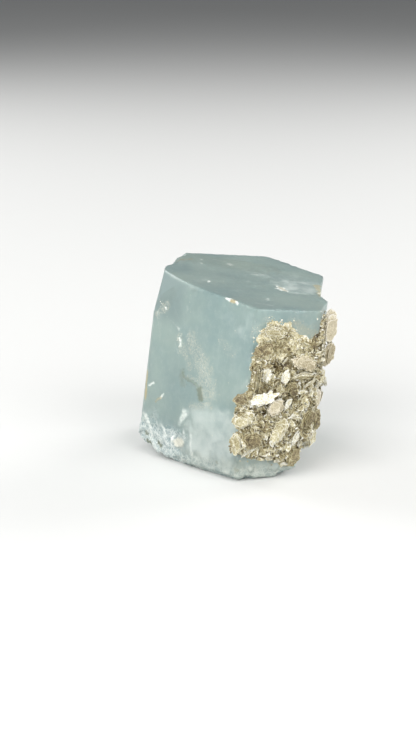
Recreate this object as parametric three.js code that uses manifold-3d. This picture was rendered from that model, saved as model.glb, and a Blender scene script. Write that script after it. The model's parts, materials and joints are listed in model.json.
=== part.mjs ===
/**
 * Aquamarine crystal with muscovite mica.
 *
 * A stout six-sided beryl prism stands on its broken base, which is cut flat, and leans a
 * little to the right. A crust of mica covers its front right face and its broken right
 * side, and larger mica books stand out of that crust, each a crystal of its own.
 *
 * Millimetres, +Z up, -Y is the front. The origin is on the cut base, under the middle of
 * the specimen. Every piece is shaped in the crystal's own frame, with +Z along its c axis,
 * and the group that holds them all sets the lean.
 */
import * as THREE from "three";
import { mergeVertices } from "three/addons/utils/BufferGeometryUtils.js";
import Module from "manifold-3d";

const wasm = await Module();
wasm.setup();

// ---- Driving dimensions ---------------------------------------------------------------

const LEAN = 7.34;                // degrees that the c axis leans to the right
const AXIS_FOOT = [-2.97, 0, -0.41]; // where the crystal's own origin stands
const HEIGHT = 43.8;              // along the c axis, to the front of the top face
const ROOT_DEPTH = 5;             // how far the uncut prism reaches below its origin
const HEADROOM = 3;               // how far it reaches above HEIGHT before its top is cut
const TOP_RISE = 1.15;            // degrees that the top face rises towards the back
const FIRST_NORMAL = -131.65;     // azimuth of the front left face's normal, in degrees
const FACE_TURN = 60;             // a beryl prism's faces meet at 120 degrees
// Distance of each prism face from the c axis, from the front left face round by the right.
const FACE_DISTANCES = [17.9, 25.3, 21.3, 23.6, 23.9, 20.8];
const BREAK_AZIMUTH = -5;         // the broken right side faces this way
const BREAK_DISTANCE = 18.4;      // its distance from the c axis
const EDGE_BEVEL = 0.4;           // depth of the narrow second-order face on the left edge
const CLEARANCE = 0.3;            // gap between neighbouring crystals
const CUTTER = 140;               // side of the block that cleaves a plane
const FINEST = 0.02;              // detail smaller than this is merged away

const PLATE = { sides: 6, turnJitter: 14, reach: [0.86, 1.14] }; // a mica plate's outline
const BOOK = { taper: 0.16, shift: 0.12, slip: -0.5, overlap: 0.1 }; // from layer to layer
const CRUST_PLATE = {
  radius: [1.5, 2.9], aspect: 0.7, thickness: [0.6, 1.0], lift: [-0.5, 0.3], tilt: 26,
};
const CRUST_SEED = 11;

const BERYL = { color: 0xa4bcb9, roughness: 0.35 };
const MICA = {
  crust: { color: 0xb3a684, roughness: 0.5 },
  pale: { color: 0xece6d6, roughness: 0.35 },
  cream: { color: 0xd8cca6, roughness: 0.4 },
  pearl: { color: 0xe0d2c2, roughness: 0.35 },
  brown: { color: 0x8a7a5a, roughness: 0.45 },
};

// ---- Small helpers --------------------------------------------------------------------

const radians = THREE.MathUtils.degToRad;

/** Repeatable random numbers in 0..1 (mulberry32). */
function makeRandom(seed) {
  let state = seed >>> 0;
  return () => {
    state = (state + 0x6d2b79f5) >>> 0;
    let t = state;
    t = Math.imul(t ^ (t >>> 15), t | 1);
    t ^= t + Math.imul(t ^ (t >>> 7), t | 61);
    return ((t ^ (t >>> 14)) >>> 0) / 4294967296;
  };
}

/** A value between the two ends of a range. */
const between = ([low, high], t) => low + (high - low) * t;

/** A closed three.js geometry as a solid that can be cut and joined. */
function toSolid(geometry) {
  const bare = geometry.index ? geometry.toNonIndexed() : geometry.clone();
  bare.deleteAttribute("normal");
  bare.deleteAttribute("uv");
  const merged = mergeVertices(bare, 1e-4);
  return new wasm.Manifold(new wasm.Mesh({
    numProp: 3,
    vertProperties: new Float32Array(merged.attributes.position.array),
    triVerts: new Uint32Array(merged.index.array),
  }));
}

/** The solid's biggest piece as a three.js geometry with flat faces. */
function toGeometry(solid) {
  const pieces = solid.simplify(FINEST).decompose().sort((a, b) => b.volume() - a.volume());
  const mesh = pieces[0].getMesh();
  const geometry = new THREE.BufferGeometry();
  geometry.setAttribute("position", new THREE.BufferAttribute(mesh.vertProperties, 3));
  geometry.setIndex(new THREE.BufferAttribute(mesh.triVerts, 1));
  geometry.computeVertexNormals();
  return geometry;
}

/** Unit vector at an azimuth and an elevation, in degrees. */
function direction(azimuth, elevation = 0) {
  const flat = Math.cos(radians(elevation));
  return new THREE.Vector3(
    flat * Math.cos(radians(azimuth)), flat * Math.sin(radians(azimuth)), Math.sin(radians(elevation)),
  );
}

// ---- The prism's own geometry ---------------------------------------------------------

/** Where two neighbouring prism faces meet, seen along the c axis. */
function corner(index, grow) {
  const count = FACE_DISTANCES.length;
  const azimuths = [index, index + 1].map((i) => radians(FIRST_NORMAL + FACE_TURN * i));
  const [a, b] = azimuths;
  const da = FACE_DISTANCES[index % count] + grow;
  const db = FACE_DISTANCES[(index + 1) % count] + grow;
  const det = Math.sin(b - a);
  return new THREE.Vector2(
    (da * Math.sin(b) - db * Math.sin(a)) / det,
    (db * Math.cos(a) - da * Math.cos(b)) / det,
  );
}

/** The plain six-sided prism, with every face moved out by grow. */
function makePrism(grow = 0) {
  const corners = FACE_DISTANCES.map((_, index) => corner(index, grow));
  const geometry = new THREE.ExtrudeGeometry(new THREE.Shape(corners), {
    depth: ROOT_DEPTH + HEIGHT + HEADROOM, bevelEnabled: false,
  });
  geometry.translate(0, 0, -ROOT_DEPTH);
  return toSolid(geometry);
}

/** Frame of an upright plane: first axis to the right along it, second up, third outwards. */
function uprightFrame(x, y, azimuth) {
  const frame = new THREE.Matrix4().makeBasis(
    direction(azimuth + 90), direction(0, 90), direction(azimuth),
  );
  return frame.setPosition(x, y, 0);
}

/** Frame of a prism face, with its origin at the face's left corner. */
function faceFrame(index) {
  const count = FACE_DISTANCES.length;
  const origin = corner((index + count - 1) % count, 0);
  return uprightFrame(origin.x, origin.y, FIRST_NORMAL + FACE_TURN * index);
}

const FRONT_LEFT = faceFrame(0);
const FRONT_RIGHT = faceFrame(1);
const BACK_RIGHT = faceFrame(3);
const BACK_LEFT = faceFrame(4);
const LEFT = faceFrame(5);

/** The broken right side, from under the front right corner towards the back. */
const BREAK_FRONT = corner(1, 0).y;
const BREAK = uprightFrame(
  (BREAK_DISTANCE - BREAK_FRONT * Math.sin(radians(BREAK_AZIMUTH))) / Math.cos(radians(BREAK_AZIMUTH)),
  BREAK_FRONT, BREAK_AZIMUTH,
);

/** Height of the cut base, in the crystal's own frame, under a point of a face. */
function baseHeight(frame, u) {
  const x = new THREE.Vector3(u, 0, 0).applyMatrix4(frame).x;
  return x * Math.tan(radians(LEAN)) - AXIS_FOOT[2] / Math.cos(radians(LEAN));
}

/** Cuts off all that lies beyond the plane through point with the given outward normal. */
function cleave(solid, point, azimuth, elevation) {
  const normal = direction(azimuth, elevation);
  const block = new THREE.BoxGeometry(CUTTER, CUTTER, CUTTER);
  block.translate(0, 0, CUTTER / 2);
  const turn = new THREE.Quaternion().setFromUnitVectors(new THREE.Vector3(0, 0, 1), normal);
  block.applyQuaternion(turn);
  block.translate(point.x, point.y, point.z);
  return solid.subtract(toSolid(block));
}

/** Takes a shell-shaped chip, an ellipsoid with these half sizes, out of a face. */
function chip(solid, frame, u, v, sizes) {
  const centreLift = 0.2 * sizes[2];
  const ball = new THREE.IcosahedronGeometry(1, 1);
  ball.scale(...sizes);
  ball.translate(u, v, centreLift);
  ball.applyMatrix4(frame);
  return solid.subtract(toSolid(ball));
}

/** A flat-sided block from one outline on a face, reaching from depth below to above it. */
function faceBlock(frame, outline, below, above) {
  const shape = new THREE.Shape(outline.map(([u, v]) => new THREE.Vector2(u, v)));
  const block = new THREE.ExtrudeGeometry(shape, { depth: above - below, bevelEnabled: false });
  block.translate(0, 0, below);
  block.applyMatrix4(frame);
  return toSolid(block);
}

// ---- Aquamarine -----------------------------------------------------------------------

/**
 * Breaks that slope up from the cut base: face, place along it, height of the break there,
 * the azimuth that it faces and its slope in degrees.
 */
const BASE_BREAKS = [
  [FRONT_LEFT, 0, 4.3, 198, 22],
  [FRONT_LEFT, 9.0, 1.5, 236, 36],
  [FRONT_LEFT, 31.8, 0.8, 262, 28],
  [FRONT_RIGHT, 6.0, 0.7, 296, 26],
  [FRONT_RIGHT, 16.1, 1.9, 330, 38],
  [BREAK, 13.0, 2.2, 356, 30],
  [BREAK, 26.0, 2.6, 12, 34],
  [BACK_RIGHT, 12.0, 1.6, 40, 24],
  [BACK_RIGHT, 25.0, 2.8, 66, 36],
  [BACK_LEFT, 8.0, 2.0, 104, 30],
  [LEFT, 1.0, 3.0, 140, 32],
  [LEFT, 13.0, 1.8, 170, 26],
];

/** Chips round the cut base: face, place along it, and half width, height and depth. */
const BASE_CHIPS = [
  [FRONT_LEFT, 1.6, [2.4, 4.3, 2.6]],
  [FRONT_LEFT, 13.4, [1.7, 2.7, 3.0]],
  [FRONT_LEFT, 16.9, [1.2, 1.9, 2.2]],
  [FRONT_LEFT, 21.4, [1.5, 0.9, 1.7]],
  [FRONT_LEFT, 31.0, [1.9, 1.4, 2.2]],
  [FRONT_RIGHT, 3.4, [2.6, 1.3, 2.6]],
  [FRONT_RIGHT, 12.6, [2.2, 1.9, 2.8]],
  [BREAK, 7.0, [3.4, 4.2, 2.8]],
  [BREAK, 20.5, [2.6, 3.4, 3.0]],
  [BACK_RIGHT, 6.0, [2.2, 3.1, 2.6]],
  [BACK_RIGHT, 19.5, [3.6, 3.0, 3.2]],
  [BACK_LEFT, 3.5, [3.0, 3.0, 3.0]],
  [BACK_LEFT, 14.5, [2.2, 3.4, 2.6]],
  [LEFT, 6.5, [3.2, 3.3, 2.4]],
  [LEFT, 18.0, [2.4, 2.6, 3.0]],
];

/** Chips along the rim of the top face and on an edge: face, place, and half sizes. */
const RIM_CHIPS = [
  [LEFT, 9.4, 45.7, [7.6, 2.5, 2.8]],
  [LEFT, 1.8, 45.2, [3.4, 1.9, 2.6]],
  [FRONT_LEFT, 24.2, 44.3, [1.4, 0.8, 1.1]],
  [BACK_LEFT, 19.6, 45.8, [2.6, 1.3, 2.0]],
  [BACK_RIGHT, 25.0, 45.7, [3.0, 1.1, 1.8]],
  [BACK_RIGHT, 12.0, 45.4, [4.2, 1.0, 1.6]],
  [BACK_LEFT, -0.2, 27.0, [1.8, 3.4, 1.6]],
];

/** The steep worn faces that round the top of the left edge: azimuth, elevation, inset. */
const SHOULDER_FACES = [
  [210, 24, 3.1],
  [188, 20, 2.0],
  [223, 34, 1.6],
];

/** Growth steps on the two hidden faces: face, outline and depth. */
const GROWTH_STEPS = [
  [BACK_RIGHT, [[-2, 9], [15.5, 9], [17.0, 22], [13.5, 52], [-2, 52]], 0.45],
  [BACK_LEFT, [[9.5, -9], [26, -9], [26, 33], [14.0, 30], [10.6, 17]], 0.35],
];
const CLEAR_OF_FACE = 4; // how far a block that lowers a face reaches out of it

/** Outline of the broken right side, on its own plane, drawn in by a margin. */
function breakOutline(margin) {
  return [
    [-20, -9], [48, -9], [48, 52], [14.6 + margin, 52], [13.4 + margin, 40.5 - margin],
    [3.0, 38.4 - margin], [-20, 37.0 - margin],
  ];
}
const BREAK_REACH = 9; // further out than the missing corner

/** The slanting end of that break under the top face, in a frame of its own. */
const NOTCH = uprightFrame(17.8, -5.6, 17.5);
const NOTCH_OUTLINE = [[-9, 41.6], [1.5, 40.4], [1.5, 52], [-9, 52]];
const NOTCH_REACH = 6;

/** Removes what is missing on the right, leaving the solid margin larger than it is. */
function breakAway(solid, margin) {
  return solid.subtract(faceBlock(BREAK, breakOutline(margin), margin, BREAK_REACH))
    .subtract(faceBlock(NOTCH, NOTCH_OUTLINE, margin, NOTCH_REACH));
}

function makeAquamarine() {
  let crystal = breakAway(makePrism(), 0);

  // The top face rises a little to the back: it meets the front edge at full height.
  const frontEdge = corner(0, 0);
  crystal = cleave(crystal, new THREE.Vector3(frontEdge.x, frontEdge.y, HEIGHT), -90, 90 - TOP_RISE);

  // The left edge carries one narrow face, and worn steep ones at its upper end.
  const leftEdge = corner(5, 0);
  const leftNormal = FIRST_NORMAL - FACE_TURN / 2;
  const bevelPoint = new THREE.Vector3(leftEdge.x, leftEdge.y, 0);
  bevelPoint.addScaledVector(direction(leftNormal), -EDGE_BEVEL);
  crystal = cleave(crystal, bevelPoint, leftNormal, 0);
  for (const [azimuth, elevation, inset] of SHOULDER_FACES) {
    const point = new THREE.Vector3(leftEdge.x, leftEdge.y, HEIGHT);
    point.addScaledVector(direction(azimuth), -inset);
    crystal = cleave(crystal, point, azimuth, elevation);
  }

  for (const [frame, outline, depth] of GROWTH_STEPS) {
    crystal = crystal.subtract(faceBlock(frame, outline, -depth, CLEAR_OF_FACE));
  }
  for (const [frame, u, height, azimuth, slope] of BASE_BREAKS) {
    const point = new THREE.Vector3(u, baseHeight(frame, u) + height, 0).applyMatrix4(frame);
    crystal = cleave(crystal, point, azimuth, slope - 90);
  }
  for (const [frame, u, sizes] of BASE_CHIPS) {
    crystal = chip(crystal, frame, u, baseHeight(frame, u), sizes);
  }
  for (const spec of RIM_CHIPS) {
    crystal = chip(crystal, ...spec);
  }

  // The cut base is level once the crystal leans.
  return cleave(crystal, new THREE.Vector3(0, 0, baseHeight(new THREE.Matrix4(), 0)), 0, LEAN - 90);
}

// ---- Mica -----------------------------------------------------------------------------

/** A flat six-sided mica plate lying in the XY plane, its corners a little uneven. */
function micaPlate(radius, aspect, thickness, random) {
  const points = [];
  for (let i = 0; i < PLATE.sides; i += 1) {
    const angle = radians((360 / PLATE.sides) * i + PLATE.turnJitter * (random() - 0.5));
    const reach = radius * between(PLATE.reach, random());
    points.push(new THREE.Vector2(reach * Math.cos(angle), reach * aspect * Math.sin(angle)));
  }
  const options = { depth: thickness, bevelEnabled: false };
  const plate = new THREE.ExtrudeGeometry(new THREE.Shape(points), options);
  plate.translate(0, 0, -thickness / 2);
  return plate;
}

/** Moves a shape from its own plane to a place on a face, spun in its plane and tilted. */
function setOnFace(geometry, frame, { u, v, lift, spin = 0, pitch = 0, yaw = 0 }) {
  geometry.rotateZ(radians(spin));
  geometry.rotateX(radians(pitch));
  geometry.rotateY(radians(yaw));
  geometry.translate(u, v, lift);
  geometry.applyMatrix4(frame);
  return geometry;
}

/** One mica book: a few plates on each other, each a little smaller and shifted. */
function micaBook(spec, grow = 0) {
  const { frame, radius, aspect, thickness, layers = 2, seed } = spec;
  const random = makeRandom(seed);
  const leaf = thickness / layers;
  let book = null;
  for (let layer = 0; layer < layers; layer += 1) {
    const reach = radius * (1 - BOOK.taper * layer) + grow;
    const plate = micaPlate(reach, aspect, leaf + BOOK.overlap + 2 * grow, random);
    const shift = BOOK.shift * radius * layer;
    plate.translate(shift, BOOK.slip * shift, (layer + 0.5 - layers / 2) * leaf);
    const solid = toSolid(setOnFace(plate, frame, spec));
    book = book ? book.add(solid) : solid;
  }
  return book;
}

/** The larger mica books, by name: place on a face, turn, size and finish. */
const BOOKS = {
  mica_blade_white: {
    frame: FRONT_RIGHT, u: 3.6, v: 23.2, lift: 3.0, spin: 28, pitch: -14, yaw: -22,
    radius: 3.2, aspect: 0.46, thickness: 0.8, finish: "pale", seed: 101,
  },
  mica_book_upright: {
    frame: FRONT_RIGHT, u: 1.7, v: 27.6, lift: 1.9, spin: 90, pitch: 0, yaw: 78,
    radius: 3.4, aspect: 0.4, thickness: 0.9, finish: "brown", seed: 102,
  },
  mica_plate_beside_upright: {
    frame: FRONT_RIGHT, u: 3.6, v: 28.3, lift: 2.3, spin: 84, pitch: 6, yaw: -18,
    radius: 1.9, aspect: 0.5, thickness: 0.6, finish: "pale", seed: 103,
  },
  mica_plate_white_centre: {
    frame: FRONT_RIGHT, u: 8.4, v: 28.6, lift: 2.9, spin: 62, pitch: -10, yaw: 16,
    radius: 1.9, aspect: 0.6, thickness: 0.6, finish: "pale", seed: 104,
  },
  mica_plate_white_middle: {
    frame: FRONT_RIGHT, u: 9.8, v: 21.9, lift: 3.2, spin: 78, pitch: 8, yaw: 20,
    radius: 1.7, aspect: 0.58, thickness: 0.6, finish: "pale", seed: 105,
  },
  mica_plate_white_lower: {
    frame: FRONT_RIGHT, u: 12.9, v: 12.9, lift: 2.9, spin: 74, pitch: 4, yaw: 34,
    radius: 2.1, aspect: 0.42, thickness: 0.6, finish: "pale", seed: 106,
  },
  mica_book_pearl: {
    frame: FRONT_RIGHT, u: 7.1, v: 20.4, lift: 2.8, spin: 60, pitch: 10, yaw: -12,
    radius: 2.6, aspect: 0.8, thickness: 0.9, layers: 3, finish: "pearl", seed: 107,
  },
  mica_book_cream_shelf: {
    frame: FRONT_RIGHT, u: 12.6, v: 32.2, lift: 2.3, spin: -8, pitch: -24, yaw: 10,
    radius: 3.5, aspect: 0.5, thickness: 1.0, layers: 3, finish: "pearl", seed: 108,
  },
  mica_book_slant: {
    frame: FRONT_RIGHT, u: 12.6, v: 28.4, lift: 2.4, spin: 16, pitch: 42, yaw: 4,
    radius: 3.1, aspect: 0.45, thickness: 0.7, finish: "cream", seed: 109,
  },
  mica_book_long_cream: {
    frame: FRONT_RIGHT, u: 8.3, v: 14.6, lift: 2.7, spin: 72, pitch: 6, yaw: -28,
    radius: 4.2, aspect: 0.36, thickness: 0.9, finish: "cream", seed: 110,
  },
  mica_book_brown_lozenge: {
    frame: FRONT_RIGHT, u: 2.0, v: 12.1, lift: 2.5, spin: 20, pitch: -8, yaw: -10,
    radius: 2.7, aspect: 0.84, thickness: 1.0, layers: 3, finish: "brown", seed: 111,
  },
  mica_book_left_foot: {
    frame: FRONT_RIGHT, u: -1.4, v: 11.0, lift: 1.0, spin: 96, pitch: 4, yaw: -40,
    radius: 3.0, aspect: 0.44, thickness: 0.8, finish: "cream", seed: 112,
  },
  mica_book_left_cream: {
    frame: FRONT_RIGHT, u: -0.6, v: 17.6, lift: 1.4, spin: 34, pitch: 6, yaw: -36,
    radius: 3.2, aspect: 0.72, thickness: 1.1, layers: 3, finish: "cream", seed: 113,
  },
  mica_plate_left_brown: {
    frame: FRONT_RIGHT, u: -1.3, v: 21.9, lift: 0.9, spin: 12, pitch: -12, yaw: -42,
    radius: 2.1, aspect: 0.7, thickness: 0.6, finish: "brown", seed: 114,
  },
  mica_book_middle_grey: {
    frame: FRONT_RIGHT, u: 10.8, v: 25.4, lift: 2.4, spin: -30, pitch: 16, yaw: 12,
    radius: 2.3, aspect: 0.7, thickness: 0.8, finish: "brown", seed: 115,
  },
  mica_book_upper_cream: {
    frame: FRONT_RIGHT, u: 4.6, v: 38.6, lift: 1.7, spin: -14, pitch: 18, yaw: -8,
    radius: 2.9, aspect: 0.6, thickness: 0.8, finish: "cream", seed: 116,
  },
  mica_book_upper_left: {
    frame: FRONT_RIGHT, u: 2.3, v: 34.4, lift: 1.9, spin: 40, pitch: -10, yaw: -24,
    radius: 2.5, aspect: 0.7, thickness: 0.9, finish: "brown", seed: 117,
  },
  mica_book_right_lower: {
    frame: FRONT_RIGHT, u: 15.6, v: 17.4, lift: 2.2, spin: 50, pitch: 0, yaw: 30,
    radius: 3.0, aspect: 0.62, thickness: 1.1, layers: 3, finish: "brown", seed: 118,
  },
  mica_book_right_foot: {
    frame: FRONT_RIGHT, u: 13.8, v: 7.6, lift: 2.1, spin: 36, pitch: -16, yaw: 24,
    radius: 2.8, aspect: 0.6, thickness: 1.0, finish: "brown", seed: 119,
  },
  mica_book_rim_top: {
    frame: BREAK, u: 6.0, v: 38.4, lift: 3.4, spin: 96, pitch: 4, yaw: -38,
    radius: 4.3, aspect: 0.58, thickness: 1.1, layers: 3, finish: "pearl", seed: 120,
  },
  mica_book_rim_upper: {
    frame: BREAK, u: 5.4, v: 31.4, lift: 3.8, spin: 84, pitch: -4, yaw: -34,
    radius: 3.0, aspect: 0.6, thickness: 0.9, finish: "pearl", seed: 121,
  },
  mica_book_rim_middle: {
    frame: BREAK, u: 4.6, v: 26.6, lift: 3.0, spin: 100, pitch: 2, yaw: -30,
    radius: 2.6, aspect: 0.56, thickness: 0.8, finish: "cream", seed: 122,
  },
  mica_book_rim_lower: {
    frame: BREAK, u: 4.0, v: 21.8, lift: 2.9, spin: 88, pitch: 0, yaw: -28,
    radius: 2.2, aspect: 0.6, thickness: 0.8, finish: "pearl", seed: 123,
  },
  mica_book_rim_grey: {
    frame: BREAK, u: 4.4, v: 16.4, lift: 3.5, spin: 94, pitch: -4, yaw: -32,
    radius: 2.9, aspect: 0.6, thickness: 0.9, finish: "brown", seed: 129,
  },
  mica_book_rim_foot: {
    frame: BREAK, u: 4.8, v: 11.0, lift: 3.1, spin: 70, pitch: -10, yaw: -36,
    radius: 2.8, aspect: 0.64, thickness: 0.9, finish: "cream", seed: 130,
  },
  mica_book_side_broad: {
    frame: BREAK, u: 12.4, v: 25.6, lift: 3.1, spin: 24, pitch: -14, yaw: 12,
    radius: 4.0, aspect: 0.72, thickness: 1.2, layers: 3, finish: "cream", seed: 124,
  },
  mica_book_side_slant: {
    frame: BREAK, u: 15.6, v: 18.6, lift: 3.0, spin: 64, pitch: 20, yaw: 18,
    radius: 2.8, aspect: 0.6, thickness: 0.9, finish: "pearl", seed: 126,
  },
  mica_book_ledge: {
    frame: BREAK, u: 17.6, v: 33.4, lift: 3.0, spin: 10, pitch: -30, yaw: 10,
    radius: 3.3, aspect: 0.7, thickness: 1.0, layers: 3, finish: "cream", seed: 127,
  },
};

/** Outlines of the mica crust on the two faces that it covers, as [u, v] points. */
const CRUST_FRONT = [
  [-1.8, 8.6], [2.6, 7.2], [9.5, 6.4], [12.6, 5.0], [15.2, 7.6], [17.4, 13.0], [17.6, 37.6],
  [14.6, 36.8], [10.4, 40.4], [3.8, 40.9], [1.2, 37.6], [0.4, 30.0], [0.8, 24.0], [-2.0, 22.4],
  [-2.2, 16.4], [-0.6, 14.2], [-2.2, 12.0],
];
const CRUST_RIGHT = [
  [-1.6, 12.0], [2.5, 8.4], [11.0, 7.6], [17.2, 11.4], [18.4, 20.0], [22.6, 26.0], [21.4, 36.2],
  [14.6, 38.4], [8.4, 37.6], [2.0, 36.6], [-1.6, 35.6],
];
const CRUST_PATCHES = [
  { frame: FRONT_RIGHT, outline: CRUST_FRONT, backing: 1.4, plates: 40 },
  { frame: BREAK, outline: CRUST_RIGHT, backing: 2.0, plates: 32 },
];

/** True where a point lies inside an outline of [u, v] points. */
function isInside(outline, u, v) {
  let inside = false;
  outline.forEach(([ua, va], index) => {
    const [ub, vb] = outline[(index + 1) % outline.length];
    const crosses = (va > v) !== (vb > v) && u < ((ub - ua) * (v - va)) / (vb - va) + ua;
    inside = crosses ? !inside : inside;
  });
  return inside;
}

/** One small plate of the crust, turned and tilted at random about a place on a face. */
function crustPlate(frame, u, v, backing, random) {
  const radius = between(CRUST_PLATE.radius, random());
  const thickness = between(CRUST_PLATE.thickness, random());
  const plate = micaPlate(radius, CRUST_PLATE.aspect, thickness, random);
  const lift = backing + between(CRUST_PLATE.lift, random());
  const spin = 180 * random();
  const [pitch, yaw] = [random(), random()].map((t) => CRUST_PLATE.tilt * (2 * t - 1));
  return toSolid(setOnFace(plate, frame, { u, v, lift, spin, pitch, yaw }));
}

/** The intergrown small mica: flat backing with tilted plates scattered over it. */
function makeCrust() {
  const random = makeRandom(CRUST_SEED);
  let crust = null;
  for (const { frame, outline, backing, plates } of CRUST_PATCHES) {
    const slab = faceBlock(frame, outline, 0, backing);
    crust = crust ? crust.add(slab) : slab;
    const corners = outline.map(([u, v]) => new THREE.Vector2(u, v));
    const across = new THREE.Box2().setFromPoints(corners);
    let placed = 0;
    while (placed < plates) {
      const u = between([across.min.x, across.max.x], random());
      const v = between([across.min.y, across.max.y], random());
      if (isInside(outline, u, v)) {
        crust = crust.add(crustPlate(frame, u, v, backing, random));
        placed += 1;
      }
    }
  }
  return crust;
}

// ---- Assembly -------------------------------------------------------------------------

function makeMesh(name, solid, { color, roughness }) {
  const material = new THREE.MeshStandardMaterial({ color, roughness, metalness: 0 });
  const mesh = new THREE.Mesh(toGeometry(solid), material);
  mesh.name = name;
  return mesh;
}

const specimen = new THREE.Group();
specimen.rotation.y = radians(LEAN);
specimen.position.set(...AXIS_FOOT);

const crystal = makeAquamarine();
specimen.add(makeMesh("aquamarine_crystal", crystal, BERYL));

// Each mica piece is cut back from the prism and from the books placed before it.
let taken = breakAway(makePrism(CLEARANCE), CLEARANCE);
for (const [name, spec] of Object.entries(BOOKS)) {
  specimen.add(makeMesh(name, micaBook(spec).subtract(taken), MICA[spec.finish]));
  taken = taken.add(micaBook(spec, CLEARANCE));
}
specimen.add(makeMesh("mica_crust", makeCrust().subtract(taken), MICA.crust));

export default specimen;
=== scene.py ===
"""Looks of an aquamarine crystal with muscovite mica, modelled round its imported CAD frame.

Sizes are in millimetres in the crystal's own frame, whose +Z runs along the c axis. A face
of the crystal has a frame of its own: u to the right along it, v up along the c axis and w
out of it. Every finished mesh is in metres in the row frame, with its object at the origin.
"""

from __future__ import annotations

import json
import logging
import math
from dataclasses import dataclass, field
from enum import Enum
from typing import Any, Iterable

import bmesh
import bpy
import numpy as np
from mathutils import Matrix, Vector, noise

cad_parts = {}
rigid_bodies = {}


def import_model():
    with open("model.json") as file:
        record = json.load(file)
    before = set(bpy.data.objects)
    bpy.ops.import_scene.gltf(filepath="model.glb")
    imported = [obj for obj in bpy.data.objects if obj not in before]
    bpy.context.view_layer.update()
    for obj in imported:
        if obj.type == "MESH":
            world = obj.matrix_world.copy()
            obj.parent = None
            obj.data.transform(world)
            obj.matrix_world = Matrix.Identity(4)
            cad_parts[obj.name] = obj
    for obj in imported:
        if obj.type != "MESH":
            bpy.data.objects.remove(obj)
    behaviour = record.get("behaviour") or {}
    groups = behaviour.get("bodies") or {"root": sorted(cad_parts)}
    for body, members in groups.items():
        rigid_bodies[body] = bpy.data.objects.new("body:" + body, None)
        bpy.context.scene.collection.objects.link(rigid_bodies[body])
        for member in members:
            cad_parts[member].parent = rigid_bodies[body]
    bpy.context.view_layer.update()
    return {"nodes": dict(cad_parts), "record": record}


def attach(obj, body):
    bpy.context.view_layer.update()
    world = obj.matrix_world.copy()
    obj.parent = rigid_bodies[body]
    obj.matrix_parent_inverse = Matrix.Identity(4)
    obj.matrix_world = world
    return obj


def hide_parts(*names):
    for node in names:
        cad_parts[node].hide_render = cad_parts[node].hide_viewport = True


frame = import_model()

log = logging.getLogger("aquamarine")

MM = 0.001
BODY = "root"

Array = np.ndarray
Pair = tuple[float, float]
Colour = tuple[float, float, float]
Leaf = tuple[Array, list, Array]
Socket = bpy.types.NodeSocket
Material = bpy.types.Material

# How fast finer noise fades and how much finer each layer of it is.
NOISE_FADE, NOISE_STEP = 0.9, 2.1
# Numbers that turn the place of a cell into three that look random.
SCRAMBLE = np.array([[12.99, 39.35, 73.16], [78.23, 11.14, 52.24], [37.72, 83.15, 9.15]])
SCRAMBLE_GAIN = 43758.55
# Distance under which the corners of loose triangles are one vertex, in metres.
SAME_PLACE = 1e-6


# ---- Shared sums ----------------------------------------------------------------------


def srgb(red: int, green: int, blue: int) -> Colour:
    """Turns an 8-bit display colour into the linear colour that a shader takes."""
    parts = [value / 255 for value in (red, green, blue)]
    return tuple(p / 12.92 if p <= 0.04045 else ((p + 0.055) / 1.055) ** 2.4 for p in parts)


def smooth(low: float, high: float, values: Array) -> Array:
    """A soft step from 0 at low to 1 at high.

    Args:
        low: Value at which the step begins.
        high: Value at which it ends; it may be less than low.
        values: The values to grade.

    Returns:
        An array of the same shape with values from 0 to 1.
    """
    t = np.clip((np.asarray(values, float) - low) / (high - low), 0, 1)
    return t * t * (3 - 2 * t)


def spot(across: Array, up: Array, centre: Pair, sizes: Pair) -> Array:
    """A soft round spot, 1 at its centre and 0 beyond its two half sizes."""
    away = np.hypot((across - centre[0]) / sizes[0], (up - centre[1]) / sizes[1])
    return 1 - smooth(0.55, 1.0, away)


def upright_in(flat: Array, out: Any = 0.0) -> Array:
    """Points of a plane, one a row, with how far out of it they lie as a third column."""
    return np.column_stack([flat, np.broadcast_to(out, len(flat))])


def noise_at(points: Array, size: float, octaves: int = 3, shift: float = 0.0) -> Array:
    """Fractal noise, about -1 to 1, at each point.

    Args:
        points: Points in millimetres, one a row.
        size: Size of the largest lumps, in millimetres.
        octaves: Number of layers of finer detail.
        shift: Moves the pattern, so that two patterns differ.

    Returns:
        One value for each point.
    """
    offset = Vector((shift, 2 * shift, -shift))
    return np.array([
        noise.fractal(Vector(p) / size + offset, NOISE_FADE, NOISE_STEP, octaves) for p in points
    ])


def broken_at(points: Array, size: float, tilt: float, shift: float = 0.0) -> Array:
    """Height of a broken surface, where each cell is a small plane with a tilt of its own.

    Args:
        points: Points in millimetres, one a row.
        size: Size of the cells, in millimetres.
        tilt: How steeply the planes lean, as rise over run.
        shift: Moves the pattern, so that two patterns differ.

    Returns:
        One height for each point, in millimetres, mostly within tilt times size of 0.
    """
    scaled = points / size + shift
    cells = np.array([noise.voronoi(Vector(p))[1][0] for p in scaled])
    lean = 2 * np.modf(np.abs(np.sin(cells @ SCRAMBLE) * SCRAMBLE_GAIN))[0] - 1
    return size * tilt * (np.einsum("ij,ij->i", scaled - cells, lean) + 0.5 * lean[:, 0])


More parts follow.
